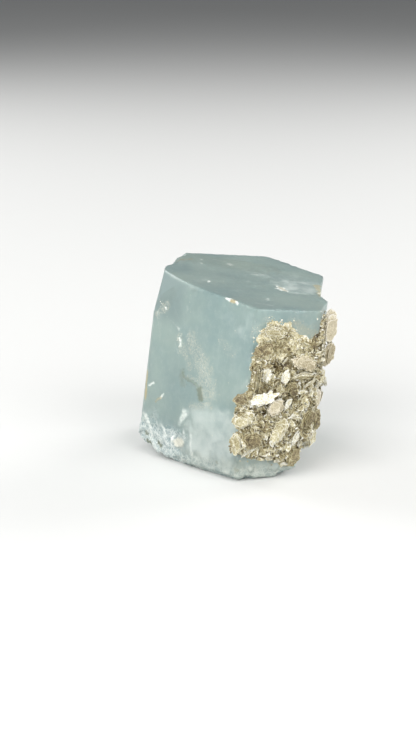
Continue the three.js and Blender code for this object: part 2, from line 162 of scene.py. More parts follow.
def outline_distance(points: Array, outline: Array) -> Array:
    """Distance from each point to a closed outline, more than 0 inside it.

    Args:
        points: Points in the outline's plane, one a row.
        outline: Corners of the outline, in order.

    Returns:
        One signed distance for each point.
    """
    nearest = np.full(len(points), np.inf)
    inside = np.zeros(len(points), bool)
    for a, b in zip(outline, np.roll(outline, -1, axis=0)):
        along = b - a
        t = np.clip((points - a) @ along / (along @ along), 0, 1)
        nearest = np.minimum(nearest, np.linalg.norm(points - a - t[:, None] * along, axis=1))
        crosses = (a[1] > points[:, 1]) != (b[1] > points[:, 1])
        with np.errstate(divide="ignore", invalid="ignore"):
            meets = (b[0] - a[0]) * (points[:, 1] - a[1]) / (b[1] - a[1]) + a[0]
        inside ^= crosses & (points[:, 0] < meets)
    return np.where(inside, nearest, -nearest)


# ---- The crystal's frames -------------------------------------------------------------


class Side(Enum):
    """The faces of the crystal that carry something, by the order of the prism faces."""

    FRONT_LEFT = 0
    FRONT_RIGHT = 1
    BACK_RIGHT = 3
    BACK_LEFT = 4
    LEFT = 5
    BREAK = -1
    TOP = -2
    RIM = -3


@dataclass(frozen=True)
class CrystalFrame:
    """Where the crystal's own frame and its faces lie in the row frame, as in the CAD part."""

    lean: float = 7.34
    foot: tuple[float, float, float] = (-2.97, 0.0, -0.41)
    height: float = 43.8
    first_normal: float = -131.65
    face_turn: float = 60.0
    distances: tuple[float, ...] = (17.9, 25.3, 21.3, 23.6, 23.9, 20.8)
    break_azimuth: float = -5.0
    break_distance: float = 18.4
    top_rise: float = 1.15

    def to_row(self) -> Matrix:
        """Matrix from the crystal's millimetres to the row's metres."""
        turn = Matrix.Rotation(math.radians(self.lean), 4, "Y")
        return Matrix.Scale(MM, 4) @ Matrix.Translation(self.foot) @ turn

    def corner(self, index: int) -> Vector:
        """Where two prism faces meet, seen along the c axis.

        Args:
            index: Number of the first of the two; the other is the next one round.

        Returns:
            The place across the axis, in the crystal's millimetres.
        """
        a, b = (math.radians(self.first_normal + self.face_turn * i) for i in (index, index + 1))
        count = len(self.distances)
        da, db = self.distances[index % count], self.distances[(index + 1) % count]
        det = math.sin(b - a)
        across = (da * math.sin(b) - db * math.sin(a)) / det
        return Vector((across, (db * math.cos(a) - da * math.cos(b)) / det))

    def upright(self, place: Iterable[float], azimuth: float) -> Matrix:
        """Frame of an upright plane, in the crystal's millimetres.

        Args:
            place: Where on the plane its frame starts, across the c axis.
            azimuth: Where the plane faces, in degrees.

        Returns:
            A matrix with u, v and w as its axes.
        """
        turn = math.radians(azimuth)
        out = Vector((math.cos(turn), math.sin(turn), 0))
        right = Vector((-out.y, out.x, 0))
        basis = Matrix((right, Vector((0, 0, 1)), out)).transposed().to_4x4()
        return Matrix.Translation((*place, 0)) @ basis

    def side(self, side: Side) -> Matrix:
        """Frame of one face, in the crystal's millimetres.

        Args:
            side: The face. The rim shares the frame of the top.

        Returns:
            A matrix with u, v and w as its axes.
        """
        if side is Side.BREAK:
            azimuth = math.radians(self.break_azimuth)
            start = self.corner(1).y
            across = (self.break_distance - start * math.sin(azimuth)) / math.cos(azimuth)
            return self.upright((across, start), self.break_azimuth)
        if side in (Side.TOP, Side.RIM):
            rise = Matrix.Rotation(math.radians(self.top_rise), 4, "X")
            edge = self.corner(0)
            top = self.height - edge.y * math.tan(math.radians(self.top_rise))
            return Matrix.Translation((0, 0, top)) @ rise
        azimuth = self.first_normal + self.face_turn * side.value
        return self.upright(self.corner(side.value - 1), azimuth)

    def face_to_row(self, side: Side) -> Matrix:
        """Matrix from a face's u, v and w in millimetres to the row's metres."""
        return self.to_row() @ self.side(side)


CRYSTAL = CrystalFrame()


def moved(points: Array, matrix: Matrix) -> Array:
    """Points, one a row, taken through a 4x4 matrix."""
    rows = np.array(matrix)
    return points @ rows[:3, :3].T + rows[:3, 3]


# ---- Meshes ---------------------------------------------------------------------------


def make_object(name: str, points: Array, faces: list, finish: Material) -> bpy.types.Object:
    """Makes a mesh object in the scene.

    Args:
        name: Name of the piece.
        points: Vertices in the row frame, in metres.
        faces: Vertex numbers of each face.
        finish: The material that it wears.

    Returns:
        The new object, at the origin.
    """
    mesh = bpy.data.meshes.new(name)
    mesh.from_pydata(points.tolist(), [], faces)
    mesh.update()
    return wrap(name, mesh, finish)


def wrap(name: str, mesh: bpy.types.Mesh, finish: Material) -> bpy.types.Object:
    """Puts a finished mesh in the scene.

    Args:
        name: Name of the piece and of its mesh.
        mesh: The mesh.
        finish: The one material that it wears.

    Returns:
        The new object, at the origin.
    """
    mesh.name = name
    mesh.materials.clear()
    mesh.materials.append(finish)
    thing = bpy.data.objects.new(name, mesh)
    bpy.context.scene.collection.objects.link(thing)
    return thing


def store(mesh: bpy.types.Mesh, name: str, values: Array) -> None:
    """Keeps one number a vertex on a mesh, for its finish or its scatter to read."""
    layer = mesh.attributes.new(name, "FLOAT", "POINT")
    layer.data.foreach_set("value", np.asarray(values, np.float32))


def coordinates(mesh: bpy.types.Mesh) -> Array:
    """Reads the vertices of a mesh.

    Args:
        mesh: The mesh.

    Returns:
        Its vertices, one a row.
    """
    flat = np.empty(3 * len(mesh.vertices), np.float32)
    mesh.vertices.foreach_get("co", flat)
    return flat.reshape(-1, 3).astype(float)


def merged_copy(node: str) -> bpy.types.Mesh:
    """Copies a CAD node's mesh and joins up its loose triangles.

    Args:
        node: Name of the node.

    Returns:
        The copy, in the row frame.
    """
    mesh = frame["nodes"][node].data.copy()
    cleaner = bmesh.new()
    cleaner.from_mesh(mesh)
    bmesh.ops.remove_doubles(cleaner, verts=cleaner.verts, dist=SAME_PLACE)
    cleaner.to_mesh(mesh)
    cleaner.free()
    return mesh


def settle(thing: bpy.types.Object, slot: str, *nodes: str) -> bpy.types.Object:
    """Fixes a finished piece to the body and hides the CAD nodes that it stands for.

    Args:
        thing: The finished piece.
        slot: The record's material slot; it is not used.
        nodes: CAD nodes that the piece replaces, if any.

    Returns:
        The same piece.
    """
    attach(thing, BODY)
    if nodes:
        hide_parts(*nodes)
    thing.data.calc_loop_triangles()
    log.info("%s: %d triangles", thing.name, len(thing.data.loop_triangles))
    return thing


def evaluated(thing: bpy.types.Object) -> bpy.types.Mesh:
    """Makes the mesh that an object's modifiers give it.

    Args:
        thing: The object.

    Returns:
        A plain mesh of its own.
    """
    bpy.context.view_layer.update()
    graph = bpy.context.evaluated_depsgraph_get()
    return bpy.data.meshes.new_from_object(thing.evaluated_get(graph), depsgraph=graph)


# ---- Node trees -----------------------------------------------------------------------


class Wiring:
    """Short calls that add and join the nodes of one tree."""

    def __init__(self, tree: bpy.types.NodeTree) -> None:
        """Keeps the tree to work on."""
        self.tree = tree

    def node(self, kind: str, inputs: dict | None = None, **settings: Any) -> bpy.types.Node:
        """Adds one node.

        Args:
            kind: The node's type.
            inputs: Its inputs by name or number: another node's socket, or a plain value.
            settings: Its other settings.

        Returns:
            The new node.
        """
        made = self.tree.nodes.new(kind)
        for name, value in settings.items():
            setattr(made, name, value)
        for key, value in (inputs or {}).items():
            socket = made.inputs[key]
            if isinstance(value, Socket):
                self.tree.links.new(value, socket)
            else:
                socket.default_value = value
        return made

    def maths(self, operation: str, *values: Any) -> Socket:
        """The result of one sum on numbers or sockets."""
        inputs = dict(enumerate(values))
        return self.node("ShaderNodeMath", inputs, operation=operation).outputs[0]

    def graded(self, value: Socket, old: Pair, new: Pair) -> Socket:
        """Takes a value softly from one range to another.

        Args:
            value: The value.
            old: The range that it is in, which may run downwards.
            new: The range that it is taken to.

        Returns:
            The new value.
        """
        inputs = {
            "Value": value, "From Min": old[0], "From Max": old[1], "To Min": new[0], "To Max": new[1],
        }
        return self.node("ShaderNodeMapRange", inputs, interpolation_type="SMOOTHSTEP").outputs[0]

    def blended(self, share: Any, first: Any, second: Any) -> Socket:
        """A colour between two colours.

        Args:
            share: How much of the second colour there is, from 0 to 1.
            first: The first colour, as a value or a socket.
            second: The second.

        Returns:
            The mixed colour.
        """
        first, second = ((*value, 1) if isinstance(value, tuple) else value for value in (first, second))
        return self.node("ShaderNodeMix", {0: share, 6: first, 7: second}, data_type="RGBA").outputs[2]

    def noise(self, place: Socket, scale: float, detail: float = 3.0,
              rough: float = 0.55) -> Socket:
        """Noise from 0 to 1 over a surface."""
        inputs = {"Vector": place, "Scale": scale, "Detail": detail, "Roughness": rough}
        return self.node("ShaderNodeTexNoise", inputs).outputs[0]

    def cells(self, place: Socket, scale: float, feature: str = "F1") -> bpy.types.Node:
        """A Voronoi pattern over a surface."""
        return self.node("ShaderNodeTexVoronoi", {"Vector": place, "Scale": scale}, feature=feature)

    def carried(self, name: str) -> Socket:
        """A number that the mesh carries at each vertex."""
        return self.node("ShaderNodeAttribute", attribute_name=name).outputs["Fac"]

    def place(self, scale: tuple[float, float, float] = (1, 1, 1)) -> Socket:
        """Object coordinates in millimetres, turned so that Z runs along the c axis.

        Args:
            scale: What each of them is multiplied by, to stretch a pattern.

        Returns:
            The place as a vector.
        """
        here = self.node("ShaderNodeTexCoord").outputs["Object"]
        turned = self.node("ShaderNodeMapping", {
            "Vector": here, "Rotation": (0, math.radians(-CRYSTAL.lean), 0),
        })
        sizes = tuple(part / MM for part in scale)
        return self.node("ShaderNodeMapping", {"Vector": turned.outputs[0], "Scale": sizes}).outputs[0]


def new_finish(name: str) -> tuple[Material, Wiring, bpy.types.Node]:
    """A fresh material with one Principled shader.

    Args:
        name: Name of the material.

    Returns:
        The material, the wiring of its tree, and its shader node.
    """
    finish = bpy.data.materials.new(name)
    finish.use_nodes = True
    wiring = Wiring(finish.node_tree)
    shader = finish.node_tree.nodes["Principled BSDF"]
    return finish, wiring, shader


# ---- Finishes -------------------------------------------------------------------------


@dataclass(frozen=True)
class BerylFinish:
    """Milky pale blue-green beryl with a satin face, frosted where it is broken."""

    deep: Colour = srgb(157, 181, 180)
    pale: Colour = srgb(180, 199, 191)
    milk: Colour = srgb(212, 222, 216)
    frost: Colour = srgb(238, 241, 234)
    speck: Colour = srgb(230, 230, 214)
    shade: Colour = srgb(132, 153, 157)
    stain: Colour = srgb(172, 154, 104)
    olive: Colour = srgb(98, 104, 82)
    index: float = 1.577
    absorbed: Colour = (0.62, 0.76, 0.76)
    density: float = 24.0
    clear: float = 0.55
    least_clear: float = 0.03
    curdling: float = 0.21
    satin: Pair = (0.31, 0.38)
    broken_roughness: float = 0.2
    worn_roughness: float = 0.35
    relief: float = 0.35
    relief_depth: float = 0.12
    veil_grain: float = 1.9
    pit_grain: float = 0.5

    def make(self) -> Material:
        """Builds the material.

        Returns:
            The finished material. It reads frost, facet, worn and the kinds of mark from the mesh; worn
            places are rougher and darkened towards shade, as painted shade.
        """
        finish, w, shader = new_finish("beryl")
        place, frost = w.place(), w.carried("frost")
        cloud = w.graded(w.noise(place, 0.075, 4.0), (0.3, 0.7), (0.0, 1.0))
        grain = w.noise(place, 1.3, 5.0, 0.65)
        milk, body = self.clouded(w, place, cloud)
        broken, crack = self.broken(w, place, frost, grain)
        body = w.blended(w.maths("MULTIPLY", frost, 0.85), body, broken)
        # Painted shade: the worn shoulder is darkened towards shade, to dim the lamp's highlight there.
        body = w.blended(w.maths("MULTIPLY", w.carried("worn"), 0.5), body, self.shade)
        body = w.blended(self.specks(w, place), body, self.speck)
        body, marked = self.marked(w, place, body)
        w.tree.links.new(body, shader.inputs["Base Color"])

        rough = w.maths("ADD", w.graded(cloud, (0.0, 1.0), self.satin),
                        w.maths("MULTIPLY", frost, self.broken_roughness))
        rough = w.maths("ADD", rough, w.maths("MULTIPLY", w.carried("worn"), self.worn_roughness))
        w.tree.links.new(rough, shader.inputs["Roughness"])
        closed = w.maths("ADD", w.maths("MULTIPLY", frost, 0.6), w.maths("MULTIPLY", milk, 0.45))
        clear = w.maths("MULTIPLY", w.maths("SUBTRACT", 1.0, closed), self.clear)
        clear = w.maths("MULTIPLY", clear, w.graded(marked, (0.0, 1.0), (1.0, 0.2)))
        clear = w.maths("MAXIMUM", clear, self.least_clear)
        w.tree.links.new(clear, shader.inputs["Transmission Weight"])
        shader.inputs["IOR"].default_value = self.index

        bump = w.node("ShaderNodeBump", {
            "Strength": self.relief, "Distance": self.relief_depth * MM,
            "Height": self.skin(w, place, w.maths("MULTIPLY", w.maths("ADD", grain, crack), frost)),
        })
        w.tree.links.new(bump.outputs[0], shader.inputs["Normal"])

        inside = w.node("ShaderNodeVolumeAbsorption", {
            "Color": (*self.absorbed, 1), "Density": self.density,
        })
        output = finish.node_tree.nodes["Material Output"]
        w.tree.links.new(inside.outputs[0], output.inputs["Volume"])
        return finish

    def clouded(self, w: Wiring, place: Socket, cloud: Socket) -> tuple[Socket, Socket]:
        """The sound beryl: blue-green, clouded white in wisps and where the mesh is milky.

        Args:
            w: Wiring of the material.
            place: Where on the crystal.
            cloud: A very broad noise.

        Returns:
            How milky it is, and its colour.
        """
        fine = w.noise(w.place((1.0, 1.0, 0.7)), 0.9, 6.0, 0.72)
        body = w.blended(cloud, self.deep, self.pale)
        body = w.blended(w.graded(fine, (0.42, 0.78), (0.0, 0.34)), body, self.milk)
        curds = w.graded(w.noise(place, 0.35, 6.0, 0.7), (0.3, 0.7), (-self.curdling, self.curdling))
        curdled = w.maths("ADD", w.carried("milk"), curds)
        milk = w.maths("MULTIPLY", w.graded(curdled, (0.05, 0.95), (0.0, 1.0)), 0.9)
        return milk, w.blended(milk, body, self.milk)

    def marked(self, w: Wiring, place: Socket, body: Socket) -> tuple[Socket, Socket]:
        """Lays the olive, white and rusty marks over the beryl.

        Args:
            w: Wiring of the material.
            place: Where on the crystal.
            body: The colour under the marks.

        Returns:
            The colour with its marks, and how strong the marks are.
        """
        olive, stain = w.carried("olive"), w.carried("stain")
        body = w.blended(w.maths("MULTIPLY", olive, 0.85), body, self.olive)
        uneven = w.graded(w.noise(place, 2.1, 4.0, 0.7), (0.3, 0.7), (-0.45, 0.3))
        white = w.maths("ADD", w.carried("white"), w.maths("MULTIPLY", uneven, w.carried("white")))
        white = w.graded(white, (0.08, 0.95), (0.0, 0.9))
        body = w.blended(stain, w.blended(white, body, self.frost), self.stain)
        return body, w.maths("MAXIMUM", w.maths("MAXIMUM", stain, white), olive)

    @staticmethod
    def skin(w: Wiring, place: Socket, crumbled: Socket) -> Socket:
        """The fine relief of the surface: growth lines up the crystal, pits and broken grains.

        Args:
            w: Wiring of the material.
            place: Where on the crystal.
            crumbled: The relief of what is broken.

        Returns:
            The height of the surface.
        """
        growth = w.noise(w.place((1.0, 1.0, 0.06)), 1.6, 4.0)
        pits = w.noise(place, 2.4, 4.0)
        relief = w.maths("ADD", w.maths("MULTIPLY", growth, 0.35), w.maths("MULTIPLY", pits, 0.25))
        return w.maths("ADD", relief, w.maths("MULTIPLY", crumbled, 1.6))

    def broken(self, w: Wiring, place: Socket, frost: Socket,
               grain: Socket) -> tuple[Socket, Socket]:
        """The colour of broken beryl: grey-blue, laced with white fractures.

        Args:
            w: Wiring of the material.
            place: Where on the crystal.
            frost: How broken it is.
            grain: A medium noise.

        Returns:
            The colour, and the distance to the nearest crack.
        """
        drift = w.node("ShaderNodeTexNoise", {"Vector": place, "Scale": 0.5}).outputs[1]
        bent = w.node("ShaderNodeVectorMath", {0: place, 1: drift}, operation="ADD").outputs[0]
        crack = w.cells(bent, 0.6, "DISTANCE_TO_EDGE").outputs[0]
        crazed = w.graded(crack, (0.09, 0.0), (0.0, 0.85))
        lace = w.maths("ABSOLUTE", w.maths("SUBTRACT", w.noise(place, 0.42, 5.0, 0.7), 0.5))
        lace = w.graded(lace, (0.035, 0.0), (0.0, 0.9))
        facets = w.maths("MULTIPLY", w.carried("facet"), 0.6)
        lit = w.maths("ADD", facets, w.maths("MULTIPLY", grain, 0.6))
        lit = w.graded(lit, (0.62, 1.0), (0.0, 0.8))
        foot = w.maths("MULTIPLY", w.graded(frost, (0.8, 1.0), (0.0, 0.42)),
                       w.graded(grain, (0.38, 0.6), (0.1, 1.0)))
        white = w.maths("MAXIMUM", w.maths("MAXIMUM", crazed, lace), w.maths("MAXIMUM", lit, foot))
        return w.blended(white, self.shade, self.frost), crack

    def specks(self, w: Wiring, place: Socket) -> Socket:
        """The minute pale specks: dense in the veils, few elsewhere.

        Args:
            w: Wiring of the material.
            place: Where on the crystal.

        Returns:
            How pale the specks make the beryl, from 0 to 1.
        """
        veil = w.carried("veil")
        haze = w.graded(w.noise(place, 1.9, 3.0, 0.75), (0.38, 0.64), (0.05, 0.72))
        haze = w.maths("MULTIPLY", haze, veil)
        fine = w.cells(place, self.veil_grain)
        dots = w.graded(fine.outputs["Distance"], (0.45, 0.2), (0.0, 0.85))
        chance = w.node("ShaderNodeSeparateColor", {0: fine.outputs["Color"]}).outputs[0]
        veiled = w.maths("GREATER_THAN", w.maths("ADD", chance, w.maths("MULTIPLY", veil, 0.6)), 1.0)
        loose = w.cells(place, self.pit_grain)
        pits = w.graded(loose.outputs["Distance"], (0.13, 0.06), (0.0, 0.6))
        rare = w.node("ShaderNodeSeparateColor", {0: loose.outputs["Color"]}).outputs[1]
        pits = w.maths("MULTIPLY", pits, w.maths("GREATER_THAN", rare, 0.7))
        return w.maths("MAXIMUM", w.maths("MAXIMUM", w.maths("MULTIPLY", dots, veiled), haze), pits)


@dataclass(frozen=True)
class MicaFinish:
    """Pearly flakes whose colour runs from crevice brown to white by the tone they carry; the low tones
    serve as painted shade in the crust's gaps, and the leaf edges are lightened as painted highlights.
    """

    name: str
    stops: tuple[tuple[float, Colour], ...] = (
        (0.0, srgb(76, 63, 38)),
        (0.28, srgb(128, 114, 77)),
        (0.55, srgb(176, 167, 129)),
        (0.8, srgb(212, 204, 169)),
        (1.0, srgb(240, 239, 230)),
    )
    gloss: float = 0.36
    mottle: float = 0.18
    # edge and lines lighten the edges of the leaves: painted highlights.
    edge: float = 0.34
    lines: float = 0.32
    bending: float = 3.5
    relief: float = 0.7
    relief_depth: float = 0.3
    specular: float = 0.55
    coat: float = 0.14
    coat_roughness: float = 0.22

    def make(self) -> Material:
        """Builds the material.

        Returns:
            The finished material. It reads tone and rim from the mesh; rim lightens the leaf edges as a
            painted highlight.
        """
        finish, w, shader = new_finish(self.name)
        place = w.place()
        fine = w.noise(place, 1.4, 6.0, 0.75)
        mottled = w.graded(fine, (0.3, 0.7), (-self.mottle, self.mottle))
        tone = w.maths("ADD", w.carried("tone"), mottled)
        # Painted highlights: lighter along the leaves' rims and along fine drawn leaf edges.
        tone = w.maths("ADD", tone, w.graded(w.carried("rim"), (0.1, 1.0), (-0.06, self.edge)))
        tone = w.maths("ADD", tone, self.leaf_edge_highlights(w))
        ramp = w.node("ShaderNodeValToRGB", {0: tone})
        steps = ramp.color_ramp.elements
        for number, (at, colour) in enumerate(self.stops):
            step = steps[number] if number < 2 else steps.new(at)
            step.position = at
            step.color = (*colour, 1)
        w.tree.links.new(ramp.outputs[0], shader.inputs["Base Color"])
        rough = w.graded(w.noise(place, 2.3, 3.0), (0.3, 0.7), (self.gloss - 0.1, self.gloss + 0.14))
        w.tree.links.new(rough, shader.inputs["Roughness"])
        shader.inputs["Specular IOR Level"].default_value = self.specular
        shader.inputs["Coat Weight"].default_value = self.coat
        shader.inputs["Coat Roughness"].default_value = self.coat_roughness
        leaves = w.noise(w.place((1.0, 1.0, 1.8)), 1.5, 5.0, 0.7)
        bump = w.node("ShaderNodeBump", {
            "Strength": self.relief, "Distance": self.relief_depth * MM, "Height": leaves,
        })
        w.tree.links.new(bump.outputs[0], shader.inputs["Normal"])
        return finish

    def leaf_edge_highlights(self, w: Wiring) -> Socket:
        """Painted highlights along the fine curved edges of the leaves, as contour lines of a bent noise.

        Args:
            w: Wiring of the material.

        Returns:
            How much lighter the edges are, as painted highlight.
        """
        place = w.place((1.0, 1.0, 1.7))
        drift = w.node("ShaderNodeTexNoise", {"Vector": place, "Scale": 0.28, "Detail": 2.0}).outputs[1]
        bending = {0: drift, 1: (self.bending,) * 3}
        away = w.node("ShaderNodeVectorMath", bending, operation="MULTIPLY").outputs[0]
        bent = w.node("ShaderNodeVectorMath", {0: place, 1: away}, operation="ADD").outputs[0]
        drawn = []
        for scale, width, share in ((0.5, (0.03, 0.006), 1.0), (1.05, (0.038, 0.008), 0.8)):
            ridge = w.maths("ABSOLUTE", w.maths("SUBTRACT", w.noise(bent, scale, 2.0, 0.6), 0.5))
            drawn.append(w.graded(ridge, width, (0.0, share * self.lines)))
        return w.maths("MAXIMUM", *drawn)


@dataclass(frozen=True)
class SealedFinish:
    """What is sealed in the crystal: a dull colour mottled towards another."""

    name: str
    first: Colour
    second: Colour
    roughness: float = 0.6

    def make(self) -> Material:
        """Builds the material.

        Returns:
            The finished material, which reads nothing from the mesh.
        """
        finish, w, shader = new_finish(self.name)
        place = w.place()
        mottled = w.graded(w.noise(place, 1.4, 4.0), (0.35, 0.65), (0.0, 1.0))
        w.tree.links.new(w.blended(mottled, self.first, self.second), shader.inputs["Base Color"])
        rough = w.graded(w.noise(place, 2.0), (0.3, 0.7), (self.roughness - 0.1, self.roughness + 0.1))
        w.tree.links.new(rough, shader.inputs["Roughness"])
        return finish


# ---- Small plates ---------------------------------------------------------------------


def thin_leaf(rings: list[Array], hub: Array, thickness: float) -> Leaf:
    """A thin closed leaf of mica.

    Args:
        rings: Rings of points in its middle plane, the outermost first, all of one length.
        hub: The point within the last ring.
        thickness: How thick the leaf is.

    Returns:
        The vertices, the faces, and for each vertex 1 on the leaf's edge and 0 elsewhere.
    """
    count, layers = len(rings[0]), len(rings)
    half = np.array([0, 0, thickness / 2])
    points = np.vstack([np.vstack(rings) + half, np.vstack(rings) - half, [hub + half, hub - half]])
    under, hubs = count * layers, (2 * count * layers, 2 * count * layers + 1)
    faces = []
    for i in range(count):
        j = (i + 1) % count
        faces.append((under + i, under + j, j, i))
        for ring in range(layers - 1):
            a, b = count * ring, count * (ring + 1)
            faces.append((a + i, a + j, b + j, b + i))
            faces.append((under + a + j, under + a + i, under + b + i, under + b + j))
        last = count * (layers - 1)
        faces += [(last + i, last + j, hubs[0]), (under + last + j, under + last + i, hubs[1])]
    rim = np.zeros(len(points))
    rim[:count] = rim[under:under + count] = 1
    return points, faces, rim


def trimmed(outline: Array, turn: float, share: float) -> Array:
    """An outline broken off straight across, as mica breaks.

    Args:
        outline: Points of the outline, in order.
        turn: Direction that the break faces, in radians.
        share: How far out the break is: 1 leaves the outline whole, 0 halves it.

    Returns:
        The new outline, with as many points.
    """
    way = np.array([math.cos(turn), math.sin(turn)])
    out = outline @ way
    return outline - np.outer(np.maximum(out - share * out.max(), 0), way)


def joined(parts: list[Leaf]) -> Leaf:
    """Puts several leaves together.

    Args:
        parts: Vertices, faces and rims of each leaf.

    Returns:
        The vertices, faces and rims of all of them as one.
    """
    faces, start = [], 0
    for points, own, _ in parts:
        faces += [tuple(start + v for v in face) for face in own]
        start += len(points)
    points, _, rims = zip(*parts)
    return np.vstack(points), faces, np.concatenate(rims)


@dataclass(frozen=True)
class PlateShape:
    """How one small plate of mica is drawn: a ragged outline with a bend and a slight dome."""

    corners: int
    thickness: float
    aspect: float = 0.8
    ragged: float = 0.16
    dome: float = 0.06
    ringed: bool = False

    def outline(self, random: np.random.Generator) -> Array:
        """Draws the plate's outline.

        Args:
            random: Where its ragged corners come from.

        Returns:
            Points of the outline, in order, for a radius of 1.
        """
        uneven = 0.35 * random.uniform(-1, 1, self.corners)
        turn = 2 * np.pi * (np.arange(self.corners) + uneven) / self.corners
        reach = 1 - self.ragged * random.random(self.corners) * 1.6
        return np.column_stack([reach * np.cos(turn), self.aspect * reach * np.sin(turn)])

    def build(self, outline: Array, level: float, random: np.random.Generator) -> Leaf:
        """Makes a closed plate on an outline.

        Args:
            outline: Points of the outline, in order.
            level: Height of the plate's middle.
            random: Where its warp comes from.

        Returns:
            The vertices, the faces, and 1 for each vertex on the edge.
        """
        middle = outline.mean(axis=0)
        turn = np.arctan2(outline[:, 1], outline[:, 0])
        warp = np.sin(2 * turn + random.uniform(0, 6))
        warp = self.dome * (warp + 0.5 * random.uniform(-1, 1, len(outline)))
        rise = self.dome * random.uniform(0.2, 1.0)
        rings = [np.column_stack([outline, level + warp])]
        if self.ringed:
            inner = middle + 0.72 * (outline - middle)
            rings.append(np.column_stack([inner, level + 0.4 * warp + 0.7 * rise]))
        return thin_leaf(rings, np.array([*middle, level + rise]), self.thickness)


class FlakeKind(Enum):
    """The kinds of flake that the crust is strewn with."""

    BOOK = "book"
    LEAF = "leaf"
    CRUMB = "crumb"
    SPECK = "speck"


@dataclass
class FlakeBox:
    """A hidden collection of flakes of one kind, with a radius of 1 mm, to strew."""

    kind: FlakeKind
    count: int = 9
    seed: int = 5
    leaf_pitch: float = 0.11
    leaf_shares: tuple[float, ...] = (1.0, 0.55, 0.1)
    collection: bpy.types.Collection | None = None

    def fill(self) -> None:
        """Makes the flakes, in a collection that isn't linked to the scene."""
        random = np.random.default_rng(self.seed)
        self.collection = bpy.data.collections.new(f"flakes {self.kind.value}")
        for number in range(self.count):
            points, faces, rim = self.draw(random)
            mesh = bpy.data.meshes.new(f"{self.kind.value} {number}")
            mesh.from_pydata((points * MM).tolist(), [], faces)
            store(mesh, "rim", rim)
            self.collection.objects.link(bpy.data.objects.new(mesh.name, mesh))

    def draw(self, random: np.random.Generator) -> Leaf:
        """Draws one flake of this kind.

        Args:
            random: Where its shape comes from.

        Returns:
            Its vertices, faces and rims.
        """
        if self.kind is FlakeKind.SPECK:
            shape = PlateShape(4, 0.7, 0.75, 0.3, 0.1)
        elif self.kind is FlakeKind.CRUMB:
            shape = PlateShape(5, 0.22, random.uniform(0.5, 0.95), 0.3, 0.1)
        elif self.kind is FlakeKind.LEAF:
            shape = PlateShape(8, 0.05, random.uniform(0.4, 0.75), 0.24, 0.22, ringed=True)
        else:
            return self.draw_book(random)
        return shape.build(shape.outline(random), 0, random)

    def draw_book(self, random: np.random.Generator) -> Leaf:
        """Draws a little stack of leaves, each broken off further back than the last.

        Args:
            random: Where its shape comes from.

        Returns:
            Its vertices, faces and rims.
        """
        shape = PlateShape(7, 0.055, random.uniform(0.45, 0.8), 0.22, 0.03)
        outline = shape.outline(random)
        turn = random.uniform(0, 2 * math.pi)
        leaves = []
        for layer, share in enumerate(self.leaf_shares):
            uneven = outline * random.uniform(0.88, 1.06, (len(outline), 1))
            edge = trimmed(uneven, turn + 0.4 * layer, share)
            leaves.append(shape.build(edge, self.leaf_pitch * layer, random))
        return joined(leaves)

    def empty(self) -> None:
        """Removes the flakes once nothing strews them any more."""
        for thing in list(self.collection.objects):
            bpy.data.objects.remove(thing)
        bpy.data.collections.remove(self.collection)


@dataclass(frozen=True)
class Strewing:
    """How one layer of flakes is strewn over a surface."""

    spacing: float
    radii: Pair
    tilt: float
    tones: Pair
    lifts: Pair = (-0.1, 0.3)
    growth: str = "growth"
    most: float = 6.0
    fan: float = 1.0
    seed: int = 1


